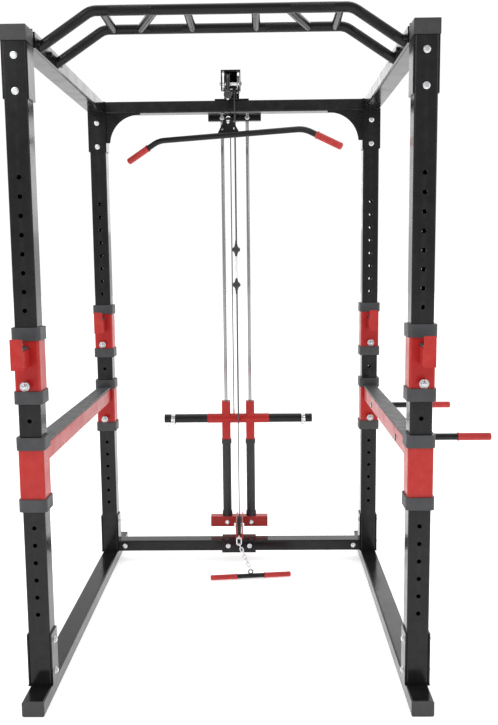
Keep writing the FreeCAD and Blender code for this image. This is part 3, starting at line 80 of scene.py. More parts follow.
class Shader:
    """A material under construction: a principled shader and short ways to add nodes to it."""

    def __init__(self, name, colour, roughness, metallic=0.0):
        self.material = bpy.data.materials.new(name)
        self.material.use_nodes = True
        self.tree = self.material.node_tree
        self.bsdf = self.tree.nodes["Principled BSDF"]
        self.bsdf.inputs["Base Color"].default_value = (*colour, 1)
        self.bsdf.inputs["Roughness"].default_value = roughness
        self.bsdf.inputs["Metallic"].default_value = metallic
        self.colour = colour
        self.place = self.add("ShaderNodeTexCoord").outputs["Object"]
        self.height = None

    def add(self, kind, **settings):
        """A new node with its settings."""
        node = self.tree.nodes.new(kind)
        for key, value in settings.items():
            setattr(node, key, value)
        return node

    def link(self, source, target):
        """Join an output to an input."""
        self.tree.links.new(source, target)

    def noise(self, scale, detail=3.0, stretch=(1, 1, 1)):
        """A noise value in object space."""
        mapping = self.add("ShaderNodeMapping")
        mapping.inputs["Scale"].default_value = stretch
        self.link(self.place, mapping.inputs["Vector"])
        node = self.add("ShaderNodeTexNoise")
        node.inputs["Scale"].default_value = scale
        node.inputs["Detail"].default_value = detail
        self.link(mapping.outputs["Vector"], node.inputs["Vector"])
        return node.outputs["Fac"]

    def ramp(self, value, low, high):
        """Map a noise-like value onto low..high."""
        node = self.add("ShaderNodeMapRange")
        node.inputs["From Min"].default_value = 0.3
        node.inputs["From Max"].default_value = 0.7
        node.inputs["To Min"].default_value = low
        node.inputs["To Max"].default_value = high
        self.link(value, node.inputs["Value"])
        return node.outputs["Result"]

    def math(self, operation, first, second=None):
        """A maths node; plain numbers and outputs both work as inputs."""
        node = self.add("ShaderNodeMath", operation=operation)
        for socket, value in zip(node.inputs, (first, second)):
            if value is None:
                continue
            if isinstance(value, (int, float)):
                socket.default_value = value
            else:
                self.link(value, socket)
        return node.outputs[0]

    def mix(self, factor, first, second):
        """A colour between two colours or colour outputs."""
        node = self.add("ShaderNodeMix", data_type="RGBA")
        self.link(factor, node.inputs[0])
        for socket, value in zip((node.inputs[6], node.inputs[7]), (first, second)):
            if isinstance(value, tuple):
                socket.default_value = (*value, 1)
            else:
                self.link(value, socket)
        return node.outputs[2]

    def mottle(self, scale, amount, wear=None, wear_amount=0.5):
        """Slight colour variation, and a lighter tone along worn edges."""
        dark = tuple(c * (1 - amount) for c in self.colour)
        light = tuple(min(c * (1 + amount) + amount * 0.01, 1) for c in self.colour)
        colour = self.mix(self.ramp(self.noise(scale, 4.0), 0.0, 1.0), dark, light)
        if wear:
            edge = self.add("ShaderNodeNewGeometry").outputs["Pointiness"]
            mask = self.add("ShaderNodeMapRange")
            mask.inputs["From Min"].default_value = 0.53
            mask.inputs["From Max"].default_value = 0.62
            mask.inputs["To Max"].default_value = wear_amount
            self.link(edge, mask.inputs["Value"])
            patchy = self.math("MULTIPLY", mask.outputs["Result"], self.ramp(self.noise(35.0), 0.2, 1.0))
            colour = self.mix(patchy, colour, wear)
        self.link(colour, self.bsdf.inputs["Base Color"])
        return self

    def gloss(self, scale, low, high, stretch=(1, 1, 1)):
        """Roughness that varies over the surface."""
        self.link(self.ramp(self.noise(scale, 3.0, stretch), low, high), self.bsdf.inputs["Roughness"])
        return self

    def bump(self, value, distance, strength=1.0):
        """Add a height to the bump; heights stack."""
        node = self.add("ShaderNodeBump")
        node.inputs["Distance"].default_value = distance
        node.inputs["Strength"].default_value = strength
        self.link(value, node.inputs["Height"])
        if self.height:
            self.link(self.height, node.inputs["Normal"])
        self.height = node.outputs["Normal"]
        self.link(self.height, self.bsdf.inputs["Normal"])
        return self

    def coat(self, weight, roughness):
        """A clear layer on top."""
        self.bsdf.inputs["Coat Weight"].default_value = weight
        self.bsdf.inputs["Coat Roughness"].default_value = roughness
        return self


def powder(name, colour, wear, roughness):
    """Gloss powder coat with fine orange peel and slightly worn edges."""
    shader = Shader(name, colour, roughness)
    shader.mottle(5.0, 0.10, wear, 0.2)
    shader.gloss(14.0, roughness - 0.05, roughness + 0.08)
    shader.bump(shader.noise(420.0, 2.0), 0.00012, 0.5)
    shader.bump(shader.noise(60.0, 2.0), 0.0003, 0.25)
    shader.bsdf.inputs["Specular IOR Level"].default_value = 0.2
    return shader.coat(0.08, 0.04)


def plastic(name, colour, roughness, grain=900.0):
    """Moulded plastic with a fine spark-eroded grain."""
    shader = Shader(name, colour, roughness)
    shader.mottle(9.0, 0.12, tuple(c + 0.05 for c in colour), 0.3)
    shader.gloss(30.0, roughness - 0.06, roughness + 0.08)
    return shader.bump(shader.noise(grain, 2.0), 0.00015, 0.5)


def metal(name, colour, low, high, stretch=(1, 1, 1), grain=250.0):
    """Plated or brushed metal."""
    shader = Shader(name, colour, low, 1.0)
    shader.mottle(12.0, 0.05)
    shader.gloss(40.0, low, high, stretch)
    return shader.bump(shader.noise(grain, 2.0, stretch), 0.00005, 0.4)


def foam(name, colour):
    """Soft rubber grip with a fine pebbled skin."""
    shader = Shader(name, colour, 0.5)
    shader.mottle(25.0, 0.10)
    shader.gloss(60.0, 0.42, 0.6)
    shader.bump(shader.noise(1400.0, 2.0), 0.0002, 0.5)
    return shader.bump(shader.noise(180.0, 3.0), 0.0003, 0.35)


KNURLS = 40.0                                   # sine waves per radian round a knurled tube
KNURL_DEPTH = 0.0009


def knurled(name, colour, node, zones):
    """Powder coat with diamond knurling round a tube where its distance from the middle is in a zone."""
    shader = powder(name, colour, WORN_BLACK, 0.19)
    axis, reach = centre(node), span(node, 1) / 2
    split = shader.add("ShaderNodeSeparateXYZ")
    shader.link(shader.place, split.inputs[0])
    distance = shader.math("ABSOLUTE", shader.math("SUBTRACT", split.outputs[0], axis.x))
    up = shader.math("SUBTRACT", split.outputs[2], side_of(node, 2) - reach)
    around = shader.math("ARCTAN2", up, shader.math("SUBTRACT", split.outputs[1], axis.y))
    turns = shader.math("MULTIPLY", around, KNURLS)
    steps = shader.math("MULTIPLY", split.outputs[0], KNURLS / reach)
    one = shader.math("SINE", shader.math("ADD", turns, steps))
    two = shader.math("SINE", shader.math("SUBTRACT", turns, steps))
    ridges = shader.math("MAXIMUM", shader.math("ABSOLUTE", one), shader.math("ABSOLUTE", two))
    mask = None
    for low, high in zones:
        inside = shader.math("MULTIPLY", shader.math("GREATER_THAN", distance, low),
                             shader.math("LESS_THAN", distance, high))
        mask = inside if mask is None else shader.math("MAXIMUM", mask, inside)
    return shader.bump(shader.math("MULTIPLY", ridges, mask), KNURL_DEPTH, 0.9)


BLACK, WORN_BLACK = (0.006, 0.006, 0.007), (0.05, 0.05, 0.05)
RED, WORN_RED = (0.40, 0.016, 0.014), (0.62, 0.10, 0.08)
DRAWN = (1, 1, 0.05)                            # a grain stretched along Z, as on drawn steel
MATERIALS = {
    "black_paint": powder("black_powder_coat", BLACK, WORN_BLACK, 0.17),
    "red_paint": powder("red_powder_coat", RED, WORN_RED, 0.3),
    "chrome": metal("polished_chrome", (0.83, 0.84, 0.86), 0.05, 0.13, DRAWN),
    "zinc": metal("bright_zinc", (0.74, 0.75, 0.77), 0.18, 0.34),
    "black_plastic": plastic("black_plastic", (0.022, 0.022, 0.024), 0.45),
    "grey_plastic": plastic("charcoal_plastic", (0.030, 0.031, 0.034), 0.5),
    "red_grip": foam("red_grip_rubber", (0.45, 0.022, 0.02)),
    "black_rubber": foam("black_rubber", (0.02, 0.02, 0.021)),
    "cable": plastic("cable_jacket", (0.03, 0.03, 0.033), 0.3, 1500.0).coat(0.4, 0.1),
    "knob": metal("polished_knob", (0.52, 0.525, 0.54), 0.08, 0.18),
}
MATERIALS = {name: shader.material for name, shader in MATERIALS.items()}
ROD_STEEL = metal("polished_rod_steel", (0.38, 0.385, 0.40), 0.12, 0.2, DRAWN).material
HOOK_STEEL = metal("satin_nickel", (0.86, 0.87, 0.88), 0.3, 0.42).material

# The knurled zones of the pull-up tubes, as distances from the tube's middle in metres.
OUTER_ZONE = (0.43, 0.53)
FRONT_BAR = knurled("front_bar_coat", BLACK, "pullup_front", ((0.214, 0.348), OUTER_ZONE)).material
REAR_BAR = knurled("rear_bar_coat", BLACK, "pullup_rear", ((0.137, 0.247), OUTER_ZONE)).material
OWN_MATERIAL = {"pullup_front": FRONT_BAR, "pullup_rear": REAR_BAR, "guide_rods": ROD_STEEL}


# ---------------------------------------------------------------- mesh building

TURN = {
    "x": Matrix.Rotation(math.radians(90), 4, "Y"),
    "y": Matrix.Rotation(math.radians(-90), 4, "X"),
    "z": Matrix.Identity(4),
}


def circle(segments):
    """Points round a circle of radius 1."""
    return [(math.cos(TAU * step / segments), math.sin(TAU * step / segments)) for step in range(segments)]


class Builder:
    """A mesh put together from turned, extruded and swept forms."""

    def __init__(self):
        self.mesh = bmesh.new()
        self.placing = Matrix.Identity(4)

    def at(self, point, turn="z"):
        """Put the forms that follow at a point, drawn along an axis or by a rotation."""
        rotation = TURN[turn] if isinstance(turn, str) else turn
        self.placing = Matrix.Translation(Vector(point)) @ rotation
        return self

    def rings(self, loops, closed_ends=True, closed_path=False):
        """Join loops of points into a skin."""
        rows = [[self.mesh.verts.new(self.placing @ Vector(point)) for point in loop] for loop in loops]
        pairs = list(zip(rows, rows[1:])) + ([(rows[-1], rows[0])] if closed_path else [])
        for first, second in pairs:
            for index in range(len(first)):
                after = (index + 1) % len(first)
                self.mesh.faces.new((first[index], first[after], second[after], second[index]))
        if closed_ends and not closed_path:
            self.mesh.faces.new(list(reversed(rows[0])))
            self.mesh.faces.new(rows[-1])
        return self

    def lathe(self, profile, segments=48, hollow=False):
        """Turn (radius, height) points about Z; hollow closes the profile on itself."""
        loops = [[(radius * x, radius * y, height) for x, y in circle(segments)] for radius, height in profile]
        return self.rings(loops, closed_ends=not hollow, closed_path=hollow)

    def block(self, low, high, chamfer):
        """A box with its four upright edges cut off, between two corners."""
        (x0, y0, z0), (x1, y1, z1) = low, high
        outline = [(x0 + chamfer, y0), (x1 - chamfer, y0), (x1, y0 + chamfer), (x1, y1 - chamfer),
                   (x1 - chamfer, y1), (x0 + chamfer, y1), (x0, y1 - chamfer), (x0, y0 + chamfer)]
        return self.rings([[(x, y, z) for x, y in outline] for z in (z0, z1)])

    def tube(self, path, radius, segments=12, closed=False):
        """A round wire along a path."""
        points = [Vector(point) for point in path]
        loops, normal = [], None
        for index, point in enumerate(points):
            before = points[index - 1] if index or closed else point
            after = points[(index + 1) % len(points)] if index < len(points) - 1 or closed else point
            along = (after - before).normalized()
            if normal is None:
                normal = along.orthogonal().normalized()
            normal = (normal - along * normal.dot(along)).normalized()
            across = along.cross(normal)
            loops.append([point + (normal * x + across * y) * radius for x, y in circle(segments)])
        return self.rings(loops, closed_ends=not closed, closed_path=closed)

    def piece(self, name, material, body, slot, replaced=(), bevel=0.0, sharp=35.0):
        """The finished object, riding on its body."""
        bmesh.ops.recalc_face_normals(self.mesh, faces=self.mesh.faces[:])
        data = bpy.data.meshes.new(name)
        self.mesh.to_mesh(data)
        self.mesh.free()
        data.polygons.foreach_set("use_smooth", [True] * len(data.polygons))
        data.set_sharp_from_angle(angle=math.radians(sharp))
        item = bpy.data.objects.new(name, data)
        bpy.context.scene.collection.objects.link(item)
        data.materials.append(material)
        if bevel:
            soften(item, bevel)
        if body:
            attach(item, body)
        if replaced:
            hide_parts(*replaced)
        return item


def soften(item, width):
    """Round an object's sharp edges a little."""
    bevel = item.modifiers.new("edges", "BEVEL")
    bevel.width = width
    bevel.segments = 2
    bevel.limit_method = "ANGLE"
    bevel.angle_limit = math.radians(40)
    bevel.harden_normals = False


def islands(node):
    """The box of each separate solid in a CAD node."""
    mesh = bmesh.new()
    mesh.from_mesh(NODES[node].data)
    bmesh.ops.remove_doubles(mesh, verts=mesh.verts[:], dist=0.00001)
    left, found = set(mesh.verts), []
    while left:
        stack = [left.pop()]
        group = list(stack)
        while stack:
            for edge in stack.pop().link_edges:
                for vert in edge.verts:
                    if vert in left:
                        left.remove(vert)
                        stack.append(vert)
                        group.append(vert)
        low = Vector([min(vert.co[axis] for vert in group) for axis in range(3)])
        high = Vector([max(vert.co[axis] for vert in group) for axis in range(3)])
        found.append((low, high))
    mesh.free()
    return sorted(found, key=lambda pair: tuple(round(value, 4) for value in pair[0]))


def arc(middle, radius, start, end, steps):
    """Points of an arc in the YZ plane: 0 degrees is behind the middle and 90 above it."""
    middle = Vector(middle)
    return [middle + Vector((0, math.cos(math.radians(angle)) * radius, math.sin(math.radians(angle)) * radius))
            for angle in (start + (end - start) * step / steps for step in range(steps + 1))]


# ---------------------------------------------------------------- carried-over CAD nodes

SLOTS = {entry["node"]: entry["material_slot"] for entry in frame["record"]["subparts"]}
SOFT_EDGE = {"grey_plastic": 2.6 * MM, "black_plastic": 1.2 * MM, "black_rubber": 1.0 * MM}
STEEL_EDGE = 0.9 * MM
CABLE_NODES = ("lat_cable", "row_cable_upper", "row_cable_lower")


def dress():
    """Give every CAD node its material and softened edges."""
    for name, item in NODES.items():
        item.data.materials.clear()
        item.data.materials.append(OWN_MATERIAL.get(name, MATERIALS[SLOTS[name]]))
        if name not in CABLE_NODES:
            soften(item, SOFT_EDGE.get(SLOTS[name], STEEL_EDGE))
        smooth = item.modifiers.new("normals", "WEIGHTED_NORMAL")
        smooth.keep_sharp = True


dress()


# ---------------------------------------------------------------- fasteners

SHORT_BOLT = 22 * MM                            # anything smaller is only a screw head
HEAD, NUT_GAP, WASHER = 6.5 * MM, 3 * MM, 1.6 * MM
HEX, HEX_TOP = 8.6 * MM, 7.6 * MM               # corner radii of the head, and of its chamfered top
THREAD, THREAD_ROOT = 4.9 * MM, 4.4 * MM


def bolt(build, low, high):
    """A hex bolt with washers in the box of its CAD solid; a short one is only a screw head."""
    size = high - low
    short = max(size) < SHORT_BOLT
    axis = (min if short else max)(range(3), key=lambda index: size[index])
    middle = (low + high) / 2
    start = middle.copy()
    start[axis] = low[axis]
    build.at(start, "xyz"[axis])
    length = size[axis]
    ends = [(HEAD, -1)] if short else [(HEAD, -1), (length - HEAD - NUT_GAP, 1)]
    for face, way in ends:
        build.rings([[(x * radius, y * radius, face + along * way) for x, y in circle(6)]
                     for along, radius in ((WASHER, HEX), (HEAD - 0.9 * MM, HEX), (HEAD, HEX_TOP))])
        build.lathe([(11 * MM, face), (11 * MM, face + WASHER * 0.8 * way), (10.4 * MM, face + WASHER * way)], 32)
    if not short:
        thread = [(THREAD, length - 4 * MM)]
        for turn in range(4):
            thread += [(THREAD, length - (3.6 - turn * 0.9) * MM), (THREAD_ROOT, length - (3.2 - turn * 0.9) * MM)]
        build.lathe([(THREAD, HEAD)] + thread, 24)


def bolts():
    """Every bolt of the frame as detailed hex hardware."""
    build = Builder()
    for low, high in islands("frame_bolts"):
        bolt(build, low, high)
    build.piece("hex_hardware", MATERIALS["zinc"], "frame", "zinc", ["frame_bolts"], 0.25 * MM)


bolts()


# ---------------------------------------------------------------- pull pins

FLUTES = 20
# The knob from its back to its domed face: radius, height and depth of the flutes, in millimetres.
KNOB = ((9.0, 0.0, 0.0), (13.8, 0.4, 0.3), (15.4, 2.4, 1.0), (15.4, 12.5, 1.0), (14.6, 15.5, 0.8), (12.4, 17.2, 0.0),
        (12.0, 16.6, 0.0), (9.5, 16.4, 0.0), (9.0, 19.6, 0.0), (6.5, 21.6, 0.0), (1.0, 21.9, 0.0))
KNOB_HEIGHT = KNOB[-1][1] * MM


def pull_pins():
    """Each pull pin: shank, collar and a fluted chrome knob with a domed face."""
    for name in [node for node in NODES if node.endswith("_pin")]:
        low, high = (Vector(corner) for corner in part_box(name))
        middle = (low + high) / 2
        outwards = -1 if name.startswith("hook") or name.endswith("rear_pin") else 1
        tip = Vector((middle.x, high.y if outwards < 0 else low.y, middle.z))
        turn = TURN["y"] if outwards > 0 else TURN["y"] @ Matrix.Rotation(math.pi, 4, "X")
        long = high.y - low.y
        build = Builder().at(tip, turn)
        build.lathe([(4.6 * MM, 0), (6.55 * MM, 3 * MM), (6.55 * MM, long - 23 * MM), (8.5 * MM, long - 23 * MM),
                     (8.5 * MM, long - 21 * MM)], 32)
        start = long - KNOB_HEIGHT
        loops = []
        for radius, height, depth in KNOB:
            loop = []
            for step, (x, y) in enumerate(circle(FLUTES * 4)):
                reach = (radius - depth * (0.5 + 0.5 * math.cos(TAU * step / 4)) ** 3) * MM
                loop.append((reach * x, reach * y, start + height * MM))
            loops.append(loop)
        build.rings(loops)
        build.piece("knob_" + name, MATERIALS["knob"], name, "knob", [name], 0.0, 50.0)


pull_pins()


# ---------------------------------------------------------------- grips

def mean_of(points):
    """The average of some points."""
    return sum(points, Vector()) / len(points)


FLANGE = 1.7 * MM                               # what a sleeve leaves of its CAD grip's radius for the flange
RIB_PITCH = 4.5 * MM


def grip(build, length, inner, outer):
    """A ribbed sleeve from z = 0, its flanged inner end, to its domed outer end at z = length."""
    profile = [(inner, 0.0), (outer + 1.6 * MM, 0.0), (outer + 1.6 * MM, 3 * MM), (outer, 5 * MM)]
    ribs = int((length - 16 * MM) / RIB_PITCH)
    for rib in range(ribs):
        start = 6 * MM + rib * RIB_PITCH
        profile += [(outer - 0.1 * MM, start), (outer - 0.7 * MM, start + 0.7 * MM),
                    (outer - 0.7 * MM, start + 1.4 * MM), (outer - 0.1 * MM, start + 2.1 * MM)]
    profile += [(outer, length - 8 * MM), (outer - 0.4 * MM, length - 3 * MM), (outer - 2 * MM, length - 0.9 * MM),
                (outer - 5 * MM, length - 0.1 * MM), (0.6 * MM, length)]
    return build.lathe(profile, 40)


def dip_grips():
    """The two red grips on the dip handles."""
    build = Builder()
    for low, high in islands("dip_grips"):
        radius = (high.z - low.z) / 2
        build.at((low.x, (low.y + high.y) / 2, (low.z + high.z) / 2), "x")
        grip(build, high.x - low.x, radius - 3 * MM, radius - FLANGE)
    build.piece("dip_grip_sleeves", MATERIALS["red_grip"], "spotter_right", "red_grip", ["dip_grips"])


def end_grips(node, body, name, radius, wall):
    """Grips on a bar's two ends, found from the CAD grips' own places and lean."""
    build = Builder()
    verts = [vert.co for vert in NODES[node].data.vertices]
    middle = centre(node)
    for way in (-1, 1):
        side = [co for co in verts if (co.x - middle.x) * way > 0]
        mean = mean_of(side)
        outer = [co for co in side if (co.x - middle.x) * way > (mean.x - middle.x) * way]
        inner = [co for co in side if (co.x - middle.x) * way <= (mean.x - middle.x) * way]
        along = (mean_of(outer) - mean_of(inner)).normalized()
        reach = [(co - mean).dot(along) for co in side]
        start = mean + along * min(reach)
        turn = Vector((0, 0, 1)).rotation_difference(along).to_matrix().to_4x4()
        build.at(start, turn)
        grip(build, max(reach) - min(reach), radius - wall, radius - FLANGE)
    build.piece(name, MATERIALS["red_grip"], body, "red_grip", [node])


dip_grips()
end_grips("lat_bar_grips", "lat_bar", "lat_grip_sleeves", 16 * MM, 3.5 * MM)
end_grips("row_bar_grips", "row_bar", "row_grip_sleeves", 13 * MM, 3 * MM)


# ---------------------------------------------------------------- pulleys

CABLE = 2.5 * MM                                # a cable's radius
GROOVE, GROOVE_HALF = 2.7 * MM, 2.8 * MM        # depth of a groove's round bottom, and half its width
RIM_DEPTH = {"middle_sheave": 3 * MM}           # how far a pulley's rim stands out over its cable line
USUAL_RIM_DEPTH = 5 * MM


def cable_line(node):
    """The radius at which a cable runs round a pulley."""
    return span(node, 2) / 2 - RIM_DEPTH.get(node, USUAL_RIM_DEPTH)


def pulley(node):
    """A grooved nylon pulley with ribs on both faces and a bearing in its middle."""
    middle = centre(node)
    rim, half, line = span(node, 2) / 2, span(node, 0) / 2, cable_line(node)
    root, lip = line - GROOVE, 2.9 * MM + (rim - line) * 0.35
    build = Builder().at(middle, "x")
    groove = [(line + GROOVE * math.cos(angle), GROOVE_HALF * math.sin(angle))
              for angle in (math.pi * (0.5 + step / 8) for step in range(9))]
    profile = [(root - 5 * MM, -half), (rim - 0.8 * MM, -half), (rim, -half + 0.6 * MM), (rim, -half + 1.6 * MM)]
    profile += [(line, -lip)] + groove + [(line, lip)]
    profile += [(rim, half - 1.6 * MM), (rim, half - 0.6 * MM), (rim - 0.8 * MM, half), (root - 5 * MM, half),
                (root - 6 * MM, 2.4 * MM), (15 * MM, 2.4 * MM), (14.5 * MM, half), (11 * MM, half),
                (11 * MM, -half), (14.5 * MM, -half), (15 * MM, -2.4 * MM), (root - 6 * MM, -2.4 * MM)]
    build.lathe(profile, 72, hollow=True)
    for rib in range(6):
        turn = TURN["x"] @ Matrix.Rotation(TAU * rib / 6, 4, "Z")
        build.at(middle, turn)
        build.block((14 * MM, -1.6 * MM, -half + 1 * MM), (root - 5.4 * MM, 1.6 * MM, half - 1 * MM), 0.6 * MM)
    build.piece("pulley_" + node, MATERIALS["black_plastic"], node, "black_plastic", [node], 0.0, 40.0)
    bearing = Builder().at(middle, "x")
    bearing.lathe([(6.05 * MM, -half + 0.4 * MM), (8 * MM, -half + 0.4 * MM), (8.3 * MM, -half + 1 * MM),
                   (9 * MM, -half + 1 * MM), (9.3 * MM, -half + 0.4 * MM), (11 * MM, -half + 0.4 * MM),
                   (11 * MM, half - 0.4 * MM), (9.3 * MM, half - 0.4 * MM), (9 * MM, half - 1 * MM),
                   (8.3 * MM, half - 1 * MM), (8 * MM, half - 0.4 * MM), (6.05 * MM, half - 0.4 * MM)], 40,
                  hollow=True)
    bearing.piece("bearing_" + node, MATERIALS["zinc"], node, "zinc", (), 0.0, 30.0)


for sheave in ("front_sheave", "rear_sheave", "middle_sheave", "low_sheave"):
    pulley(sheave)


# ---------------------------------------------------------------- cables

def cable(name, path, replaced):
    """A stretch of cable whose straight run stretches between the frame and another body."""
    build = Builder().tube(path, CABLE, 16)
    item = build.piece(name, MATERIALS["cable"], None, "cable", replaced)
    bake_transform(item)


def cables():
    """The three cables, cut over each pulley, where they change from one moving piece to the next."""
    front, rear = centre("front_sheave"), centre("rear_sheave")
    middle, low = centre("middle_sheave"), centre("low_sheave")
    line, wide = cable_line("front_sheave"), cable_line("middle_sheave")
    top = front.z + line
    half = Vector((front.x, (front.y + rear.y) / 2, top))
    drop = Vector((front.x, front.y - line, side_of("lat_hook", 2)))
    path = [drop] + arc(front, line, 180, 90, 14) + [half]
    cable("lat_cable_front", path, ["lat_cable"])
    fall = Vector((rear.x, rear.y + line, side_of("lat_cable", 2, False)))
    cable("lat_cable_rear", [half] + arc(rear, line, 90, 0, 14) + [fall], ())
    rise = Vector((middle.x, middle.y + wide, side_of("row_cable_upper", 2, False)))
    cable("row_cable_rise", [rise] + arc(middle, wide, 0, 90, 14), ["row_cable_upper"])
    sink = Vector((middle.x, middle.y - wide, side_of("cable_link", 2)))
    cable("row_cable_fall", arc(middle, wide, 90, 180, 14) + [sink], ())
    reach = Vector((low.x, low.y + line, side_of("cable_link", 2, False)))
    cable("row_cable_sink", [reach] + arc(low, line, 0, -45, 8), ["row_cable_lower"])
    out = Vector((low.x, side_of("row_cable_lower", 1, False), low.z - line))
    cable("row_cable_out", arc(low, line, -45, -90, 8) + [out], ())


cables()


# ---------------------------------------------------------------- stops and hooks on the cables

def ring_path(low, high, wire, narrow=0.0):
    """A closed path in the YZ plane inside a box, its upper end narrower, for a wire of a given radius."""
    middle = (low + high) / 2
    foot = (high.y - low.y) / 2 - wire
    head = foot - narrow
    lower = arc((middle.x, middle.y, low.z + wire + foot), foot, 180, 360, 20)
    upper = arc((middle.x, middle.y - narrow, high.z - wire - head), head, 0, 180, 20)
    return lower + upper


# Half of a stop from its end to its widest place, in millimetres: radius and height.
HALF_STOP = [(2.6, 0), (3.6, 0), (4.4, 1), (4.4, 5), (4.0, 6), (4.0, 9), (5.0, 12), (6.0, 18), (7.6, 25),
             (10.5, 28.5), (14.5, 31.5), (16.9, 33.8), (17.8, 35.6), (18.0, 37.5)]
STOP_LENGTH = 80
LINK_WIRE = 4 * MM


def cable_stops():
    """The turned black stops and the quick link that join the two row cables."""
    stops, link = Builder(), Builder()
    for low, high in islands("cable_link"):
        middle = (low + high) / 2
        if high.x - low.x < 20 * MM:
            link.tube(ring_path(low, high, LINK_WIRE), LINK_WIRE, 16, closed=True)
            link.at((middle.x, low.y + LINK_WIRE, middle.z - 11 * MM))
            link.lathe([(LINK_WIRE, 0), (6.6 * MM, 0), (7.3 * MM, 1 * MM), (7.3 * MM, 21 * MM), (6.6 * MM, 22 * MM),
                        (LINK_WIRE, 22 * MM)], 6)
            link.at((0, 0, 0))
            continue
        stops.at((middle.x, middle.y, low.z))
        whole = HALF_STOP + [(radius, STOP_LENGTH - height) for radius, height in reversed(HALF_STOP)]
        stops.lathe([(radius * MM, height * MM) for radius, height in whole], 48)
    stops.piece("row_cable_stops", MATERIALS["black_plastic"], "cable_link", "black_plastic", ["cable_link"])
    link.piece("row_quick_link", HOOK_STEEL, "cable_link", "zinc", (), 0.0, 30.0)


BALL = 18                                       # the ball stop's radius in millimetres
EYE, EYE_WIRE = 9 * MM, 2.5 * MM


def bar_hook():
    """The black ball stop over the lat bar, its eye, and the snap hook with its sprung gate, square to the bar."""
    ball, hook = Builder(), Builder()
    ends = [(low + high) / 2 for low, high in islands("lat_bar_grips")]
    turn = Matrix.Rotation(math.atan2(ends[-1].y - ends[0].y, ends[-1].x - ends[0].x), 4, "Z")
    for low, high in islands("lat_hook"):
        middle = (low + high) / 2
        if high.x - low.x > 30 * MM:
            ball.at((middle.x, middle.y, high.z - 2 * BALL * MM))
            waist = [(BALL * math.cos(math.radians(angle)), BALL + BALL * math.sin(math.radians(angle)))
                     for angle in range(64, -71, -8)]
            rows = [(2.6, 35.8), (6.4, 35.6)] + waist + [(5.0, 0.9), (2.0, 0.6)]
            ball.lathe([(radius * MM, height * MM) for radius, height in rows], 48)
            hook.at((middle.x, middle.y, low.z + EYE + EYE_WIRE), turn)
            hook.tube([(EYE * x, 0.0, EYE * z) for x, z in circle(32)], EYE_WIRE, 12, closed=True)
            hook.at((middle.x, middle.y, high.z - 40 * MM))
            hook.lathe([(2.0 * MM, 0), (4.2 * MM, 0), (4.8 * MM, 1 * MM), (4.8 * MM, 4 * MM),
                        (2.0 * MM, 4.6 * MM)], 24)
            hook.at((0, 0, 0))
        else:
            reach, tall = Vector((LINK_WIRE, 18 * MM, 0)), Vector((0, 0, (high.z - low.z) / 2))
            hook.at(middle, turn)
            hook.tube(ring_path(-reach - tall, reach + tall, LINK_WIRE, 3 * MM), LINK_WIRE, 16, closed=True)
            hook.at(middle + turn.to_3x3() @ Vector((0, 12.6 * MM, 0)) - tall + Vector((0, 0, 27 * MM)), turn)
            hook.lathe([(3.4 * MM, 0), (4.9 * MM, 0.6 * MM), (4.9 * MM, 7 * MM), (4.3 * MM, 8 * MM), (4.3 * MM, 30 * MM),
                        (4.9 * MM, 31 * MM), (4.9 * MM, 37 * MM), (3.4 * MM, 38 * MM)], 24)
            hook.at((0, 0, 0))
    ball.piece("lat_ball_stop", MATERIALS["black_plastic"], "lat_hook", "black_plastic", ["lat_hook"])
    hook.piece("lat_snap_hook", HOOK_STEEL, "lat_hook", "zinc", (), 0.0, 40.0)


cable_stops()
bar_hook()


# ---------------------------------------------------------------- spring collars

SPRING_WIRE, SPRING_PITCH = 2.2 * MM, 4.6 * MM
SPRING_TURNS, SPRING_STEPS = 4, 30


def spring_collars():
    """Spring clips on the weight posts: four turns of wire with two handles that stick out and down."""
    build = Builder()
    bulk = centre("carriage_frame")
    post = span("carriage_posts", 1) / 2
    for low, high in islands("post_collars"):
        way = 1 if (low.x + high.x) / 2 > bulk.x else -1
        axis = Vector((0, centre("carriage_posts").y, low.z + post + 6 * MM))
        inner = low.x if way > 0 else high.x
        path = []
        for step in range(SPRING_TURNS * SPRING_STEPS + 4):
            angle = math.radians(-112) + TAU * step / SPRING_STEPS
            x = inner + way * (SPRING_WIRE + SPRING_PITCH * step / SPRING_STEPS)
            reach = post + SPRING_WIRE
            path.append(Vector((x, axis.y + reach * math.cos(angle), axis.z + reach * math.sin(angle))))
        first, last = ([point + Vector((way * 6 * MM, lean * 3 * MM, -5 * MM)),
                        point + Vector((way * 62 * MM, lean * 9 * MM, -15 * MM))]
                       for point, lean in ((path[0], -1), (path[-1], 1)))
        build.tube(first[::-1] + path + last, SPRING_WIRE, 10)
    build.piece("spring_clips", MATERIALS["chrome"], "carriage", "chrome", ["post_collars"])


spring_collars()


# ---------------------------------------------------------------- stage, light and camera

def area_light(name, place, target, size, power):
    """A large soft light aimed at a point."""
    data = bpy.data.lights.new(name, "AREA")
    data.shape = "RECTANGLE"
    data.size, data.size_y = size
    data.energy = power
    item = bpy.data.objects.new(name, data)
    item.location = place
    item.rotation_euler = (Vector(target) - Vector(place)).to_track_quat("-Z", "Y").to_euler()
    bpy.context.scene.collection.objects.link(item)


FLOOR = 30                                      # half the floor's width in metres


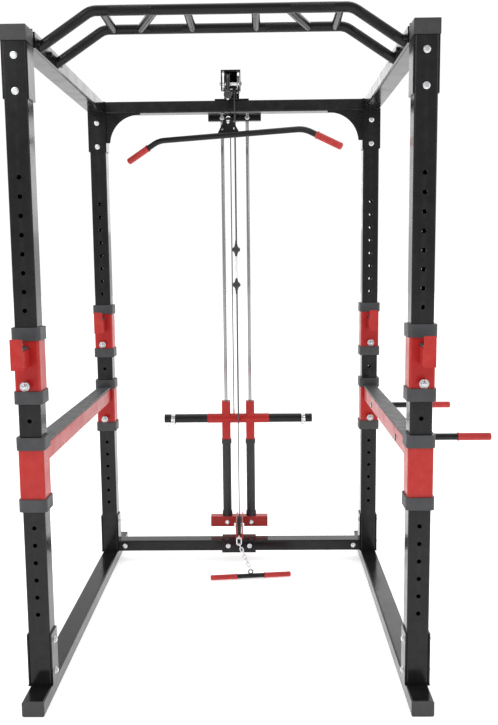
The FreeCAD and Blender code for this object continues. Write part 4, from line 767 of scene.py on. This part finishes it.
def studio():
    """A pale floor, a surround that is white behind the cage and greyer in front of it, and soft lights."""
    data = bpy.data.meshes.new("studio_floor")
    data.from_pydata([(-FLOOR, -FLOOR, 0), (FLOOR, -FLOOR, 0), (FLOOR, FLOOR, 0), (-FLOOR, FLOOR, 0)], [],
                     [(0, 1, 2, 3)])
    floor = bpy.data.objects.new("studio_floor", data)
    bpy.context.scene.collection.objects.link(floor)
    floor.location.z = -0.3 * MM
    shader = Shader("pale_floor", (0.96, 0.96, 0.96), 0.7)
    shader.bsdf.inputs["Emission Color"].default_value = (1, 1, 1, 1)
    shader.bsdf.inputs["Emission Strength"].default_value = 0.5
    floor.data.materials.append(shader.material)
    world = bpy.data.worlds.new("surround")
    bpy.context.scene.world = world
    world.use_nodes = True
    tree = world.node_tree
    background = tree.nodes["Background"]
    background.inputs["Color"].default_value = (1, 1, 1, 1)
    way = tree.nodes.new("ShaderNodeTexCoord")
    split = tree.nodes.new("ShaderNodeSeparateXYZ")
    tree.links.new(way.outputs["Generated"], split.inputs[0])
    shade = tree.nodes.new("ShaderNodeMapRange")
    shade.inputs["From Min"].default_value = -0.5
    shade.inputs["From Max"].default_value = 0.25
    shade.inputs["To Min"].default_value = 0.6
    shade.inputs["To Max"].default_value = 1.05
    tree.links.new(split.outputs[1], shade.inputs["Value"])
    tree.links.new(shade.outputs["Result"], background.inputs["Strength"])
    area_light("key", (-2.6, -3.4, 3.6), (0, 0, 1.1), (2.2, 2.2), 45)
    area_light("fill", (3.4, -2.6, 2.6), (0, 0, 1.0), (2.0, 2.0), 20)
    area_light("top", (0, 0.4, 4.6), (0, 0.2, 0), (3.2, 3.2), 40)
    area_light("rear", (0.8, 4.2, 2.8), (0, 0, 1.2), (2.4, 2.4), 20)
    bpy.context.scene.view_settings.view_transform = "Standard"


LENS, SENSOR = 59.8554, 36.0                    # millimetres
PITCH, YAW, ROLL = 0.1244, -0.0167, -0.0103     # radians
CAMERA_POINT = (0.1187, -2.5437, 1.4079)        # from the floor midway between the front uprights


def camera():
    """The camera, in front of the cage at head height and looking slightly down."""
    data = bpy.data.cameras.new("camera")
    data.sensor_fit = "HORIZONTAL"
    data.sensor_width = SENSOR
    data.lens = LENS
    data.clip_end = 200.0
    item = bpy.data.objects.new("camera", data)
    bpy.context.scene.collection.objects.link(item)
    turn = Matrix.Rotation(ROLL, 3, "Y") @ Matrix.Rotation(PITCH, 3, "X") @ Matrix.Rotation(YAW, 3, "Z")
    right, ahead, up = turn.row[0], turn.row[1], turn.row[2]
    basis = Matrix((right, up, -ahead)).transposed().to_4x4()
    cage = (centre("upright_front_left") + centre("upright_front_right")) / 2
    place = Vector((cage.x, cage.y, 0)) + Vector(CAMERA_POINT)
    item.matrix_world = Matrix.Translation(place) @ basis
    bpy.context.scene.camera = item


studio()
camera()
